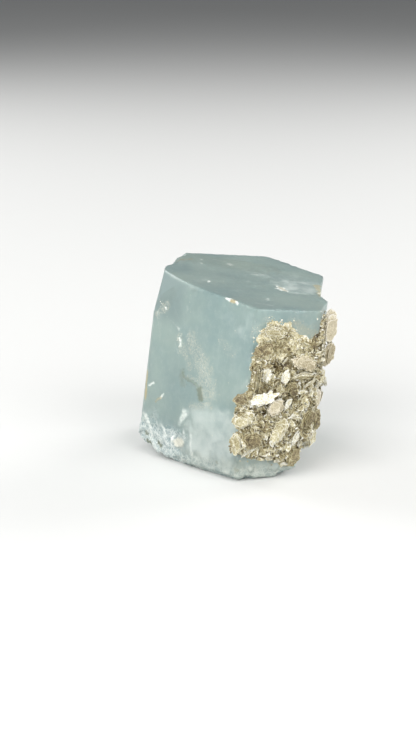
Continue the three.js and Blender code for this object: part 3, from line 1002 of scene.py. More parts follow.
class StrewTree:
    """The Geometry Nodes tree that strews flakes over whatever surface it is given.

    Neighbouring flakes lean alike: their turn drifts slowly over the surface, by DRIFT waves
    a millimetre, and SWING sets how far it drifts. Each flake has some turn of its own too.
    """

    DRIFT = 0.26
    SWING = 4.0
    SOCKETS = (
        ("Flakes", "NodeSocketCollection"), ("Spacing", "NodeSocketFloat"), ("Most", "NodeSocketFloat"),
        ("Growth", "NodeSocketString"), ("Smallest", "NodeSocketFloat"), ("Largest", "NodeSocketFloat"),
        ("Tilt", "NodeSocketFloat"), ("Darkest", "NodeSocketFloat"), ("Lightest", "NodeSocketFloat"),
        ("Lowest", "NodeSocketFloat"), ("Highest", "NodeSocketFloat"), ("Fan", "NodeSocketFloat"),
        ("Seed", "NodeSocketInt"), ("Finish", "NodeSocketMaterial"),
    )

    def __init__(self) -> None:
        """Builds the tree and notes the identifier of each input."""
        self.tree = bpy.data.node_groups.new("strew flakes", "GeometryNodeTree")
        face = self.tree.interface
        face.new_socket("Surface", in_out="INPUT", socket_type="NodeSocketGeometry")
        self.identifiers = {
            name: face.new_socket(name, in_out="INPUT", socket_type=kind).identifier
            for name, kind in self.SOCKETS
        }
        face.new_socket("Flakes", in_out="OUTPUT", socket_type="NodeSocketGeometry")
        self.wire()

    def wire(self) -> None:
        """Adds the nodes: points, flakes on them, their turn, lift, tone (darker for lower flakes, as
        painted shade) and finish.
        """
        w = Wiring(self.tree)
        given = w.node("NodeGroupInput").outputs
        seed = given["Seed"]

        def random_number(low: Any, high: Any, step: int) -> Socket:
            """A random number for each point, with a seed of its own."""
            inputs = {2: low, 3: high, "Seed": w.maths("ADD", seed, float(step))}
            return w.node("FunctionNodeRandomValue", inputs, data_type="FLOAT").outputs[1]

        grown = w.node("GeometryNodeInputNamedAttribute", {"Name": given["Growth"]}, data_type="FLOAT")
        points = w.node("GeometryNodeDistributePointsOnFaces", {
            "Mesh": given["Surface"], "Distance Min": given["Spacing"], "Density Max": given["Most"],
            "Density Factor": grown.outputs["Attribute"], "Seed": seed,
        }, distribute_method="POISSON")
        flakes = w.node("GeometryNodeCollectionInfo", {
            "Collection": given["Flakes"], "Separate Children": True, "Reset Children": True,
        })
        here = w.node("ShaderNodeVectorMath", {
            0: w.node("GeometryNodeInputPosition").outputs[0], 1: (self.DRIFT / MM,) * 3,
        }, operation="MULTIPLY")
        drift = w.node("ShaderNodeTexNoise", {"Vector": here.outputs[0], "Scale": 1.0, "Detail": 1.0})
        lean = w.node("ShaderNodeSeparateXYZ", {0: drift.outputs[1]}).outputs
        loose = w.maths("SUBTRACT", 1.0, w.maths("MULTIPLY", given["Fan"], 0.6))

        def turned_by(axis: int, most: Any, step: int) -> Socket:
            """An angle that drifts slowly from place to place, with some of its own.

            Args:
                axis: The axis that it turns about.
                most: How far it turns at most, in radians.
                step: What its seed differs by.

            Returns:
                The angle, in radians.
            """
            shared = w.maths("MULTIPLY", w.maths("SUBTRACT", lean[axis], 0.5), self.SWING)
            shared = w.maths("MULTIPLY", shared, given["Fan"])
            own = w.maths("MULTIPLY", random_number(-1.0, 1.0, step), loose)
            return w.maths("MULTIPLY", w.maths("ADD", shared, own), most)

        euler = w.node("ShaderNodeCombineXYZ", {
            0: turned_by(0, given["Tilt"], 11), 1: turned_by(1, given["Tilt"], 12),
            2: turned_by(2, math.pi, 13),
        })
        turned = w.node("FunctionNodeRotateRotation", {
            "Rotation": points.outputs["Rotation"],
            "Rotate By": w.node("FunctionNodeEulerToRotation", {0: euler.outputs[0]}).outputs[0],
        }, rotation_space="LOCAL")
        size = random_number(given["Smallest"], given["Largest"], 14)
        sizes = w.node("ShaderNodeCombineXYZ", {
            0: size, 1: w.maths("MULTIPLY", size, random_number(0.6, 1.1, 15)),
            2: w.maths("POWER", size, 0.6),
        })
        placed = w.node("GeometryNodeInstanceOnPoints", {
            "Points": points.outputs["Points"], "Instance": flakes.outputs[0], "Pick Instance": True,
            "Rotation": turned.outputs[0], "Scale": sizes.outputs[0],
        })
        high = random_number(0.0, 1.0, 16)
        height = w.node("ShaderNodeMapRange", {0: high, 3: given["Lowest"], 4: given["Highest"]})
        rise = w.node("ShaderNodeCombineXYZ", {2: height.outputs[0]})
        lifted = w.node("GeometryNodeTranslateInstances", {
            "Instances": placed.outputs[0], "Translation": rise.outputs[0], "Local Space": True,
        })
        # Painted shade: flakes that sit lower get a darker tone.
        light = w.maths("MULTIPLY", w.maths("ADD", high, random_number(0.0, 1.0, 17)), 0.5)
        tones = {0: light, 3: given["Darkest"], 4: given["Lightest"]}
        tone = w.node("ShaderNodeMapRange", tones).outputs[0]
        tone = w.maths("ADD", tone, w.maths("SUBTRACT", lean[2], 0.5))
        toned = w.node("GeometryNodeStoreNamedAttribute", {
            "Geometry": lifted.outputs[0], "Name": "tone", "Value": tone,
        }, data_type="FLOAT", domain="INSTANCE")
        real = w.node("GeometryNodeRealizeInstances", {"Geometry": toned.outputs[0]})
        dressed = w.node("GeometryNodeSetMaterial", {
            "Geometry": real.outputs[0], "Material": given["Finish"],
        })
        w.node("NodeGroupOutput", {0: dressed.outputs[0]})

    def strew(self, name: str, ground: bpy.types.Mesh, layer: Strewing, flakes: FlakeBox,
              finish: Material) -> bpy.types.Object:
        """Strews one layer.

        Args:
            name: Name of the piece.
            ground: Surface in the row frame to strew over; it isn't shown.
            layer: Spacing, sizes, tilt and tones of the flakes.
            flakes: What is strewn.
            finish: The material of the flakes.

        Returns:
            The layer as one plain mesh object.
        """
        holder = wrap(f"{name} ground", ground, finish)
        modifier = holder.modifiers.new("strew", "NODES")
        modifier.node_group = self.tree
        values = {
            "Flakes": flakes.collection, "Spacing": layer.spacing * MM, "Most": layer.most / MM**2,
            "Growth": layer.growth, "Smallest": layer.radii[0], "Largest": layer.radii[1],
            "Tilt": math.radians(layer.tilt), "Darkest": layer.tones[0], "Lightest": layer.tones[1],
            "Lowest": layer.lifts[0] * MM, "Highest": layer.lifts[1] * MM, "Fan": layer.fan,
            "Seed": layer.seed, "Finish": finish,
        }
        for socket, value in values.items():
            modifier[self.identifiers[socket]] = value
        mesh = evaluated(holder)
        bpy.data.objects.remove(holder)
        return wrap(name, mesh, finish)


# ---- Aquamarine -----------------------------------------------------------------------


class MarkKind(Enum):
    """Kinds of mark on the beryl, mostly natural, a few painted shade or highlight, by the attribute that
    its finish reads.
    """

    WHITE = "white"
    STAIN = "stain"
    OLIVE = "olive"
    VEIL = "veil"
    MILK = "milk"


@dataclass(frozen=True)
class Mark:
    """One mark along a short line on a face, mostly natural, in a few places painted shade or highlight;
    on the rim, v is the distance from it.

    A mark shows only on vertices that lie less than SKIN millimetres below its face.
    """

    SKIN = 0.9

    kind: MarkKind
    side: Side
    start: Pair
    end: Pair
    half_width: float
    strength: float
    ragged: float = 0.25

    def strength_at(self, flat: Array, depth: Array, uneven: Array) -> Array:
        """How strong the mark is at each vertex.

        Args:
            flat: Place of each vertex on the mark's face.
            depth: Depth of each vertex below the face.
            uneven: Two noises a vertex, that break the mark's outline.

        Returns:
            One value from 0 to 1 a vertex.
        """
        start, along = np.array(self.start), np.subtract(self.end, self.start)
        place = flat + self.ragged * uneven * (0.3 + self.half_width)
        t = np.clip((place - start) @ along / max(along @ along, 1e-9), 0, 1)
        away = np.linalg.norm(place - start - t[:, None] * along, axis=1)
        return self.strength * smooth(1.25, 0.55, away / self.half_width) * (depth < self.SKIN)


@dataclass
class Aquamarine:
    """The beryl crystal: its CAD solid with a fine, worn and partly broken surface.

    A pair of sizes is where a change begins and where it is complete.
    """

    grain: float = 0.37
    skin: float = 1.6
    cut_band: float = 0.12
    rounding: int = 90
    shoulder: Pair = (1.0, -2.0)
    shoulder_reach: Pair = (11.0, 7.0)
    rounded_above: Pair = (34.0, 39.0)
    wear_and_shade_above: Pair = (31.0, 36.0)
    broken_below: Pair = (4.6, 1.6)
    left_width: Pair = (17.5, 11.5)
    left_broken_below: Pair = (10.8, 6.4)
    middle_from: Pair = (16.0, 19.0)
    middle_broken_below: Pair = (4.8, 2.6)
    relief_height: float = 14.0
    milky_below: Pair = (8.5, 3.0)
    step_height: float = 0.12
    finish: BerylFinish = field(default_factory=BerylFinish)
    node: str = "aquamarine_crystal"

    def build(self) -> bpy.types.Object:
        """Builds the crystal.

        Returns:
            The finished piece, which stands for the CAD node.
        """
        rough = wrap("crystal block", merged_copy(self.node), bpy.data.materials.new("bare"))
        remesh = rough.modifiers.new("grain", "REMESH")
        remesh.mode = "VOXEL"
        remesh.voxel_size = self.grain * MM
        mesh = evaluated(rough)
        bpy.data.objects.remove(rough)
        self.weather(mesh, self.round_shoulder(mesh))
        crystal = wrap("aquamarine", mesh, self.finish.make())
        mesh.shade_smooth()
        return settle(crystal, "aquamarine", self.node)

    def round_shoulder(self, mesh: bpy.types.Mesh) -> Array:
        """Wears the top of the left edge round, by drawing each vertex to its neighbours.

        Args:
            mesh: The crystal's fine mesh, which is changed.

        Returns:
            How worn each vertex is, from 0 to 1; the finish roughens these places and darkens them with
            painted shade against the lamp's highlight.
        """
        points = moved(coordinates(mesh), CRYSTAL.to_row().inverted())
        front = moved(points, CRYSTAL.side(Side.FRONT_LEFT).inverted())
        top = -moved(points, CRYSTAL.side(Side.TOP).inverted())[:, 2]
        away = np.hypot(front[:, 0] - self.shoulder[0], front[:, 2] - self.shoulder[1])
        zone = smooth(*self.shoulder_reach, away)
        share = zone * smooth(*self.rounded_above, front[:, 1]) * smooth(0.1, 0.9, top)
        moves = share > 0.01
        worn = np.flatnonzero(moves)
        ends = np.empty(2 * len(mesh.edges), np.int32)
        mesh.edges.foreach_get("vertices", ends)
        ends = ends.reshape(-1, 2)
        ends = ends[moves[ends].any(axis=1)]
        count = np.bincount(ends.ravel(), minlength=len(points))[worn]
        for _ in range(self.rounding):
            pulled = [
                np.bincount(ends[:, 0], points[ends[:, 1], k], len(points))
                + np.bincount(ends[:, 1], points[ends[:, 0], k], len(points)) for k in range(3)
            ]
            mean = np.column_stack(pulled)[worn] / count[:, None]
            points[worn] += (mean - points[worn]) * share[worn, None]
        row = moved(points, CRYSTAL.to_row())
        mesh.vertices.foreach_set("co", row.astype(np.float32).ravel())
        mesh.update()
        # The worn zone, which the finish roughens and darkens with painted shade.
        return zone * smooth(*self.wear_and_shade_above, front[:, 1]) * smooth(0.1, 0.9, top)

    def weather(self, mesh: bpy.types.Mesh, rounded: Array) -> None:
        """Breaks, wears and marks the surface of the crystal's fine mesh.

        Args:
            mesh: The mesh, which is changed.
            rounded: How worn each vertex already is, from 0 to 1; the finish roughens these places and
                darkens them with painted shade.
        """
        row = coordinates(mesh)
        points = moved(row, CRYSTAL.to_row().inverted())
        normals = np.empty(3 * len(row), np.float32)
        mesh.vertices.foreach_get("normal", normals)
        normals = normals.reshape(-1, 3).astype(float)
        places = {side: moved(points, CRYSTAL.side(side).inverted()) for side in Side}
        depth = {side: -place[:, 2] for side, place in places.items()}
        flat = {side: place[:, :2] for side, place in places.items()}
        away = np.hypot(depth[Side.FRONT_LEFT], depth[Side.TOP])
        flat[Side.RIM] = np.column_stack([flat[Side.FRONT_LEFT][:, 0], away])
        depth[Side.RIM] = away - 1.5
        height = row[:, 2] / MM

        frost, break_height, facet = self.broken_zone(points, height, flat, depth)
        worn = self.edge_wear(points, depth)
        drop = worn + 0.02 * noise_at(points, 7.0, 2, 3.1)
        rough = frost > 0.02
        drop[rough] += frost[rough] * break_height[rough]
        drop += self.top_relief(flat[Side.TOP], depth[Side.TOP])
        drop[height < self.cut_band] = 0
        row += normals * (drop * MM)[:, None]
        row[:, 2] = np.maximum(row[:, 2], 0)
        mesh.vertices.foreach_set("co", row.astype(np.float32).ravel())

        uneven = np.column_stack([noise_at(points, 1.4, 3, shift) for shift in (27.0, 51.0)])
        marked = {kind: np.zeros(len(points)) for kind in MarkKind}
        for mark in MARKS:
            here = mark.strength_at(flat[mark.side], depth[mark.side], uneven)
            marked[mark.kind] = np.maximum(marked[mark.kind], here)
        marked[MarkKind.MILK] = self.milk_zone(points, height, marked[MarkKind.MILK])
        for kind, values in marked.items():
            store(mesh, kind.value, values)
        store(mesh, "frost", np.maximum(frost, smooth(0.05, 0.3, -worn) * 0.45))
        store(mesh, "facet", facet)
        # worn: the rounded shoulder, roughened and darkened with painted shade in the finish.
        store(mesh, "worn", rounded)
        mesh.update()

    def broken_zone(self, points: Array, height: Array, flat: dict,
                    depth: dict) -> tuple[Array, Array, Array]:
        """Where the crystal is broken round its foot, and the relief of the break.

        Args:
            points: Vertices in the crystal's millimetres.
            height: Height of each above the cut base.
            flat: Place of each vertex on each face.
            depth: Depth of each vertex below each face.

        Returns:
            How broken each vertex is, from 0 to 1, the height of the break there, and how
            bright its facet is, from 0 to 1.
        """
        ragged = 2.2 * noise_at(points, 5.0, 3, 7.7)
        frost = smooth(*self.broken_below, height + ragged)
        u, v = flat[Side.FRONT_LEFT].T
        front = depth[Side.FRONT_LEFT] < self.skin
        left = front * smooth(*self.left_width, u + 0.8 * ragged)
        rise = 0.12 * u + smooth(5.0, 0.0, u) * 1.6
        frost = np.maximum(frost, left * smooth(*self.left_broken_below, v + ragged + rise))
        middle = np.maximum(front * smooth(*self.middle_from, u), depth[Side.FRONT_RIGHT] < self.skin)
        foot = 0.5 * middle * smooth(*self.middle_broken_below, height + 0.5 * ragged)
        frost = np.maximum(frost * (1 - 0.55 * middle), foot)
        near = height < self.relief_height
        relief, facet = np.zeros(len(points)), np.full(len(points), 0.5)
        coarse = broken_at(points[near], 2.3, 0.24, 4.0)
        relief[near] = coarse + broken_at(points[near], 0.9, 0.16, 9.0) - 0.15
        facet[near] = 0.5 + coarse + 0.35 * noise_at(points[near], 1.5, 3, 17.0)
        return frost, relief, np.clip(facet, 0, 1)

    def edge_wear(self, points: Array, depth: dict) -> Array:
        """Chips the prism's edges and the rim of its top face.

        Args:
            points: Vertices in the crystal's millimetres.
            depth: Depth of each vertex below each face.

        Returns:
            How far each vertex moves out, in millimetres; it is never more than 0.
        """
        prism = [side for side in Side if side.value >= 0]
        near = np.sort(np.column_stack([depth[side] for side in prism] + [depth[Side.BREAK]]), axis=1)
        upright = np.hypot(near[:, 0], near[:, 1])
        rim = np.hypot(near[:, 0], depth[Side.TOP])
        closest = np.minimum(upright, rim)
        wear = np.zeros(len(points))
        edge = closest < 1.4
        bite = smooth(0.15, 0.65, noise_at(points[edge], 2.6, 3, 21.0))
        small = smooth(0.1, 0.6, noise_at(points[edge], 0.9, 2, 33.0))
        wear[edge] = -(0.3 * bite + 0.07 * small) * smooth(0.9, 0.1, closest[edge])
        return wear

    def top_relief(self, place: Array, depth: Array) -> Array:
        """The low growth step and shallow hollows of the top face.

        Args:
            place: Place of each vertex on the top face.
            depth: Depth of each vertex below it.

        Returns:
            How far each vertex moves out, in millimetres.
        """
        on_top = (depth < 0.8).astype(float)
        x, y = place.T
        behind = y + 7.2 - 0.19 * (x - 9.6)
        step = smooth(0.25, -0.25, behind) * np.exp(np.minimum(behind, 0) / 4) * smooth(6.0, 11.0, x)
        hollow = 0.05 * noise_at(upright_in(place * (0.35, 1.0)), 4.0, 3, 5.0)
        return on_top * (hollow - self.step_height * step)

    def milk_zone(self, points: Array, height: Array, patch: Array) -> Array:
        """Where the beryl is clouded white: in marked patches, in wisps, and low all round.

        Args:
            points: Vertices in the crystal's millimetres.
            height: Height of each above the cut base.
            patch: How milky the marks make each vertex.

        Returns:
            How milky each vertex is, from 0 to 1.
        """
        wisps = noise_at(points, 6.0, 3, 15.0)
        low = smooth(*self.milky_below, height + 2.0 * wisps)
        return np.clip(patch + 0.4 * low + 0.22 * smooth(0.25, 0.8, wisps), 0, 1)


# ---- Sealed in the crystal ------------------------------------------------------------


@dataclass
class Veil:
    """A band of minute bright specks just under a face, along a curve."""

    name: str
    side: Side
    path: tuple[Pair, ...]
    width: float
    layer: Strewing
    depth: float = 0.0
    steps: int = 60
    across: int = 12

    def ground(self) -> bpy.types.Mesh:
        """The curved band that the specks lie on.

        Returns:
            A mesh in the row frame that carries the growth of the specks.
        """
        path = np.array(self.path)
        along = np.linspace(0, len(path) - 1, self.steps)
        middle = np.column_stack([np.interp(along, np.arange(len(path)), path[:, k]) for k in (0, 1)])
        run = np.gradient(middle, axis=0)
        sideways = np.column_stack([run[:, 1], -run[:, 0]]) / np.linalg.norm(run, axis=1)[:, None]
        shares = np.linspace(-1, 1, self.across)
        spread = self.width * (0.55 + 0.45 * np.sin(np.pi * np.linspace(0, 1, self.steps)))
        flat = middle[:, None] + sideways[:, None] * (shares[:, None] * spread[:, None, None] / 2)
        flat = flat.reshape(-1, 2)
        sunk = -self.depth * (1 + 0.5 * noise_at(upright_in(flat), 3.0, 2, 2.0))
        points = moved(upright_in(flat, sunk), CRYSTAL.face_to_row(self.side))
        n = self.across
        faces = [
            (i * n + j, i * n + j + 1, (i + 1) * n + j + 1, (i + 1) * n + j)
            for i in range(self.steps - 1) for j in range(n - 1)
        ]
        mesh = bpy.data.meshes.new(self.name)
        mesh.from_pydata(points.tolist(), [], faces)
        ends = np.sin(np.pi * np.repeat(np.linspace(0.03, 0.97, self.steps), n)) ** 0.5
        fade = 1 - np.tile(np.abs(shares), self.steps) ** 2
        clump = smooth(-0.35, 0.45, noise_at(moved(points, CRYSTAL.to_row().inverted()), 1.6, 3, 8.0))
        store(mesh, "growth", ends * fade * clump)
        return mesh

    def build(self, tree: StrewTree, specks: FlakeBox, finish: Material) -> bpy.types.Object:
        """Strews the specks and fixes the piece to the body."""
        piece = tree.strew(self.name, self.ground(), self.layer, specks, finish)
        return settle(piece, "aquamarine")


@dataclass
class SealedMica:
    """Dark mica plates sealed just under the front left face.

    Each place holds u and v of the plate's middle, its radius, its aspect and its turn in degrees.
    """

    places: tuple[tuple[float, float, float, float, float], ...] = (
        (11.9, 21.3, 0.9, 0.75, 10.0),
        (13.0, 20.9, 1.0, 0.45, -8.0),
        (14.3, 20.8, 0.9, 0.42, 5.0),
        (15.6, 20.4, 0.9, 0.5, -25.0),
        (16.7, 19.8, 0.9, 0.5, -50.0),
        (17.6, 19.0, 1.0, 0.55, -60.0),
        (18.4, 18.1, 1.25, 0.75, -68.0),
        (12.1, 20.2, 0.7, 0.6, 60.0),
    )
    depth: float = 0.25
    seed: int = 31

    def build(self, finish: Material) -> bpy.types.Object:
        """Builds the plates.

        Args:
            finish: The material that they wear.

        Returns:
            All the plates as one piece of several closed leaves.
        """
        random = np.random.default_rng(self.seed)
        to_row = CRYSTAL.face_to_row(Side.FRONT_LEFT)
        parts = []
        for u, v, radius, aspect, turn in self.places:
            shape = PlateShape(9, 0.12, aspect, 0.3, 0.05)
            own, faces, rim = shape.build(shape.outline(random), 0, random)
            own[:, :2] *= radius
            spin = Matrix.Rotation(math.radians(turn), 4, "Z")
            lean = Matrix.Rotation(math.radians(random.uniform(-14, 14)), 4, "X")
            place = Matrix.Translation((u, v, -self.depth - 0.3 * random.random())) @ spin @ lean
            parts.append((moved(moved(own, place), to_row), faces, rim))
        points, faces, _ = joined(parts)
        return settle(make_object("sealed_mica", points, faces, finish), "mica_brown")


# ---- Mica crust -----------------------------------------------------------------------


@dataclass(frozen=True)
class Crevice:
    """A gap in the crust, sunk, bare of flakes and darkened with painted shade: its middle, its half
    sizes across and up, and how deep and how dark it is.
    """

    middle: Pair
    half_sizes: Pair
    share: float = 1.0


@dataclass
class CrustPatch:
    """Intergrown small mica over part of one side of the crystal.

    Its bed is thickest within the outline and thins out at it. Above fine_above the mica is
    fine and low. Crumbs of it lie up to fringe outside the outline, and the bed is sunk a
    little into the crystal. A pair of sizes is where a change begins and where it is complete.
    """

    name: str
    side: Side
    outline: tuple[Pair, ...]
    thickness: float
    seed: float
    crevices: tuple[Crevice, ...] = ()
    pitch: float = 0.32
    sunk: float = 0.15
    fringe: float = 2.6
    fine_above: float = 60.0
    swell: float = 0.0
    swell_above: Pair = (33.0, 38.0)
    swell_before: Pair = (10.0, 6.0)
    edge: Pair = (-0.2, 2.4)
    crevice_depth: float = 0.7
    bare_rim: float = 1.0
    flaked_below: Pair = (0.6, 1.8)

    def creviced(self, place: Array) -> Array:
        """How deep in a crevice each place is; the bed is darkened there as painted shade.

        Args:
            place: Places on the side, one a row.

        Returns:
            One value from 0 to 1 a place.
        """
        uneven = 0.8 * noise_at(upright_in(place), 1.6, 2, self.seed + 3)
        deep = np.zeros(len(place))
        for gap in self.crevices:
            here = spot(place[:, 0] + uneven, place[:, 1] + uneven, gap.middle, gap.half_sizes)
            deep = np.maximum(deep, gap.share * here)
        return deep

    def fineness(self, up: Array) -> Array:
        """How fine the mica is at each height, from 0 to 1."""
        return smooth(self.fine_above - 2.5, self.fine_above + 2.0, up)

    def below_rim(self, place: Array) -> Array:
        """How far below the crystal's top face each place on the side is, in millimetres."""
        row = moved(upright_in(place), CRYSTAL.face_to_row(self.side))
        return -moved(row, CRYSTAL.face_to_row(Side.TOP).inverted())[:, 2]

    def heightfield(self, beyond: float) -> tuple[Array, Array, Array, tuple[int, int]]:
        """Heights of the patch on a grid over its side.

        Args:
            beyond: How far the grid cells reach outside the outline.

        Returns:
            The grid's places, their heights, their distances into the outline, and the
            numbers of rows and columns.
        """
        outline = np.array(self.outline)
        low, high = outline.min(0) - beyond - self.pitch, outline.max(0) + beyond + self.pitch
        across = np.arange(low[0], high[0], self.pitch)
        up = np.arange(low[1], high[1], self.pitch)
        grid = np.stack(np.meshgrid(across, up, indexing="ij"), -1).reshape(-1, 2)
        inside = outline_distance(grid, outline)
        places = upright_in(grid)
        lumps = noise_at(places, 4.2, 4, self.seed)
        ragged = inside + 0.7 * noise_at(places, 1.5, 2, self.seed + 5)
        ragged = np.minimum(ragged, self.below_rim(grid) - self.bare_rim)
        full = self.thickness * (1 + 0.4 * lumps) * (1 - 0.6 * self.fineness(grid[:, 1]))
        upper = smooth(*self.swell_above, grid[:, 1])
        full += self.swell * upper * smooth(*self.swell_before, grid[:, 0])
        full += 0.45 * broken_at(places, 1.7, 0.5, self.seed)
        full -= self.crevice_depth * self.creviced(grid)
        return grid, full * smooth(*self.edge, ragged), ragged, (len(across), len(up))

    def ground(self) -> bpy.types.Mesh:
        """The surface that the flakes are strewn over.

        Returns:
            A mesh in the row frame that carries the growth of the leaves, the curled leaves
            and the crumbs.
        """
        grid, rise, inside, (rows, columns) = self.heightfield(self.fringe)
        kept = (inside > -self.fringe).reshape(rows, columns)
        points = moved(upright_in(grid, rise + 0.04), CRYSTAL.face_to_row(self.side))
        faces = [
            (i * columns + j, (i + 1) * columns + j, (i + 1) * columns + j + 1, i * columns + j + 1)
            for i in range(rows - 1) for j in range(columns - 1)
            if kept[i:i + 2, j:j + 2].all()
        ]
        mesh = bpy.data.meshes.new(self.name)
        mesh.from_pydata(points.tolist(), [], faces)
        fine = self.fineness(grid[:, 1])
        upper = smooth(self.fine_above - 9.0, self.fine_above - 4.0, grid[:, 1])
        under = smooth(*self.flaked_below, self.below_rim(grid))
        full = smooth(0.0, 0.9, inside) * (1 - 0.85 * self.creviced(grid)) * under
        store(mesh, "growth", full * (1 - 0.75 * fine) * (1 - upper))
        store(mesh, "curling", full * (1 - 0.5 * fine) * np.maximum(upper, 0.55))
        rim = smooth(-self.fringe, 0.3, inside) ** 2 * smooth(2.2, 0.8, inside)
        past_the_edge = grid[:, 0] < -0.3
        rim *= np.where(past_the_edge, smooth(0.1, 0.6, inside), 1.0)
        store(mesh, "crumbling", np.clip(0.5 * rim + 0.5 * fine * rim, 0, 1) * under)
        return mesh

    def backing(self, finish: Material) -> bpy.types.Object:
        """Builds the closed bed of mica under the flakes.

        Args:
            finish: The material that it wears.

        Returns:
            The finished piece, which stands for the crust's CAD node with its flakes.
        """
        grid, rise, inside, (rows, columns) = self.heightfield(self.pitch)
        kept = (inside > -self.pitch).reshape(rows, columns)
        cells = [
            i * columns + j
            for i in range(rows - 1) for j in range(columns - 1)
            if kept[i:i + 2, j:j + 2].all()
        ]
        matrix = CRYSTAL.face_to_row(self.side)
        rough = 0.12 * noise_at(upright_in(grid), 0.8, 2, self.seed + 9)
        top = moved(upright_in(grid, np.maximum(rise + rough, 0.02)), matrix)
        bottom = moved(upright_in(grid, -self.sunk), matrix)
        total = len(grid)
        faces, edges = [], {}
        for cell in cells:
            ring = [cell, cell + columns, cell + columns + 1, cell + 1]
            faces += [tuple(ring), tuple(v + total for v in reversed(ring))]
            for a, b in zip(ring, ring[1:] + ring[:1]):
                if not edges.pop((b, a), False):
                    edges[a, b] = True
        faces += [(b, a, a + total, b + total) for a, b in edges]
        piece = make_object(f"{self.name}_bed", np.vstack([top, bottom]), faces, finish)
        self.clean(piece.data)
        place = moved(coordinates(piece.data), matrix.inverted())
        margin = outline_distance(place[:, :2], np.array(self.outline))
        # Painted shade: the bed is toned dark so that the gaps between the flakes read as shadow, darker
        # still in the crevices; it is lighter high up, where the mica is fine, and near the outline.
        tone = 0.14 + 0.28 * smooth(-0.6, 0.6, noise_at(place, 2.0, 3, self.seed))
        tone += 0.26 * smooth(self.fine_above - 9.0, self.fine_above - 3.0, place[:, 1])
        tone += 0.1 * smooth(1.6, 0.0, margin) - 0.4 * self.creviced(place[:, :2])
        store(piece.data, "tone", tone)
        return settle(piece, "mica", "mica_crust")

    @staticmethod
    def clean(mesh: bpy.types.Mesh) -> None:
        """Removes vertices that no face uses, and turns all faces outwards.

        Args:
            mesh: The mesh, which is changed.
        """
        cleaner = bmesh.new()
        cleaner.from_mesh(mesh)
        bmesh.ops.delete(cleaner, geom=[v for v in cleaner.verts if not v.link_faces], context="VERTS")
        bmesh.ops.recalc_face_normals(cleaner, faces=cleaner.faces)
        cleaner.to_mesh(mesh)
        cleaner.free()

    def build(self, tree: StrewTree, boxes: dict[FlakeKind, FlakeBox], finish: Material) -> None:
        """Builds the bed and its layers of flakes.

        Args:
            tree: What strews the flakes.
            boxes: The flakes of each kind.
            finish: The material of all of it.
        """
        self.backing(finish)
        seed = int(self.seed)
        layers = {
            "leaves": (FlakeKind.LEAF, Strewing(
                0.7, (0.6, 1.6), 80, (0.07, 0.54), (-0.3, 0.3), seed=seed + 1,
            )),
            "books": (FlakeKind.BOOK, Strewing(
                2.1, (0.8, 2.0), 46, (0.08, 0.76), (-0.2, 0.4), seed=seed + 2,
            )),
            "curls": (FlakeKind.LEAF, Strewing(
                0.55, (0.4, 1.1), 84, (0.25, 0.74), (-0.1, 0.4), "curling", seed=seed + 3,
            )),
            "glints": (FlakeKind.BOOK, Strewing(
                2.2, (0.25, 0.7), 56, (0.8, 0.95), (0.2, 0.6), fan=0.3, seed=seed + 4,
            )),
            "crumbs": (FlakeKind.CRUMB, Strewing(
                0.5, (0.14, 0.46), 60, (0.34, 0.76), (-0.02, 0.12), "crumbling", fan=0.2, seed=seed + 5,
            )),
        }
        for part, (kind, layer) in layers.items():
            piece = tree.strew(f"{self.name}_{part}", self.ground(), layer, boxes[kind], finish)
            settle(piece, "mica", "mica_crust")


# ---- Mica books -----------------------------------------------------------------------


class BookTone(Enum):
    """Tones of the mica books: the record's material slot, and how light the mica is."""

    MICA = ("mica", 0.56)
    PALE = ("mica_pale", 0.9)
    PEARL = ("mica_pale", 0.68)
    BROWN = ("mica_brown", 0.18)

    @classmethod
    def of(cls, slot: str, node: str) -> BookTone:
        """Picks the tone of a node; the thick pale books are pearly.

        Args:
            slot: The node's material slot in the record.
            node: Its name.

        Returns:
            Its tone.
        """
        if slot == "mica_pale" and "book" in node:
            return cls.PEARL
        return next(tone for tone in cls if tone.value[0] == slot)


@dataclass(frozen=True)
class BookLook:
    """How a book is worn.

    It is lifted by rise, in millimetres. Its uppermost leaf is narrower than its lowest by the
    share shrink, torn sets how ragged its leaves are, lighter is added to its tone, and its
    outline is eased over that many points to either side.
    """

    rise: float = 0.0
    shrink: float = 0.38
    torn: float = 1.0
    lighter: float = 0.0
    eased: int = 0


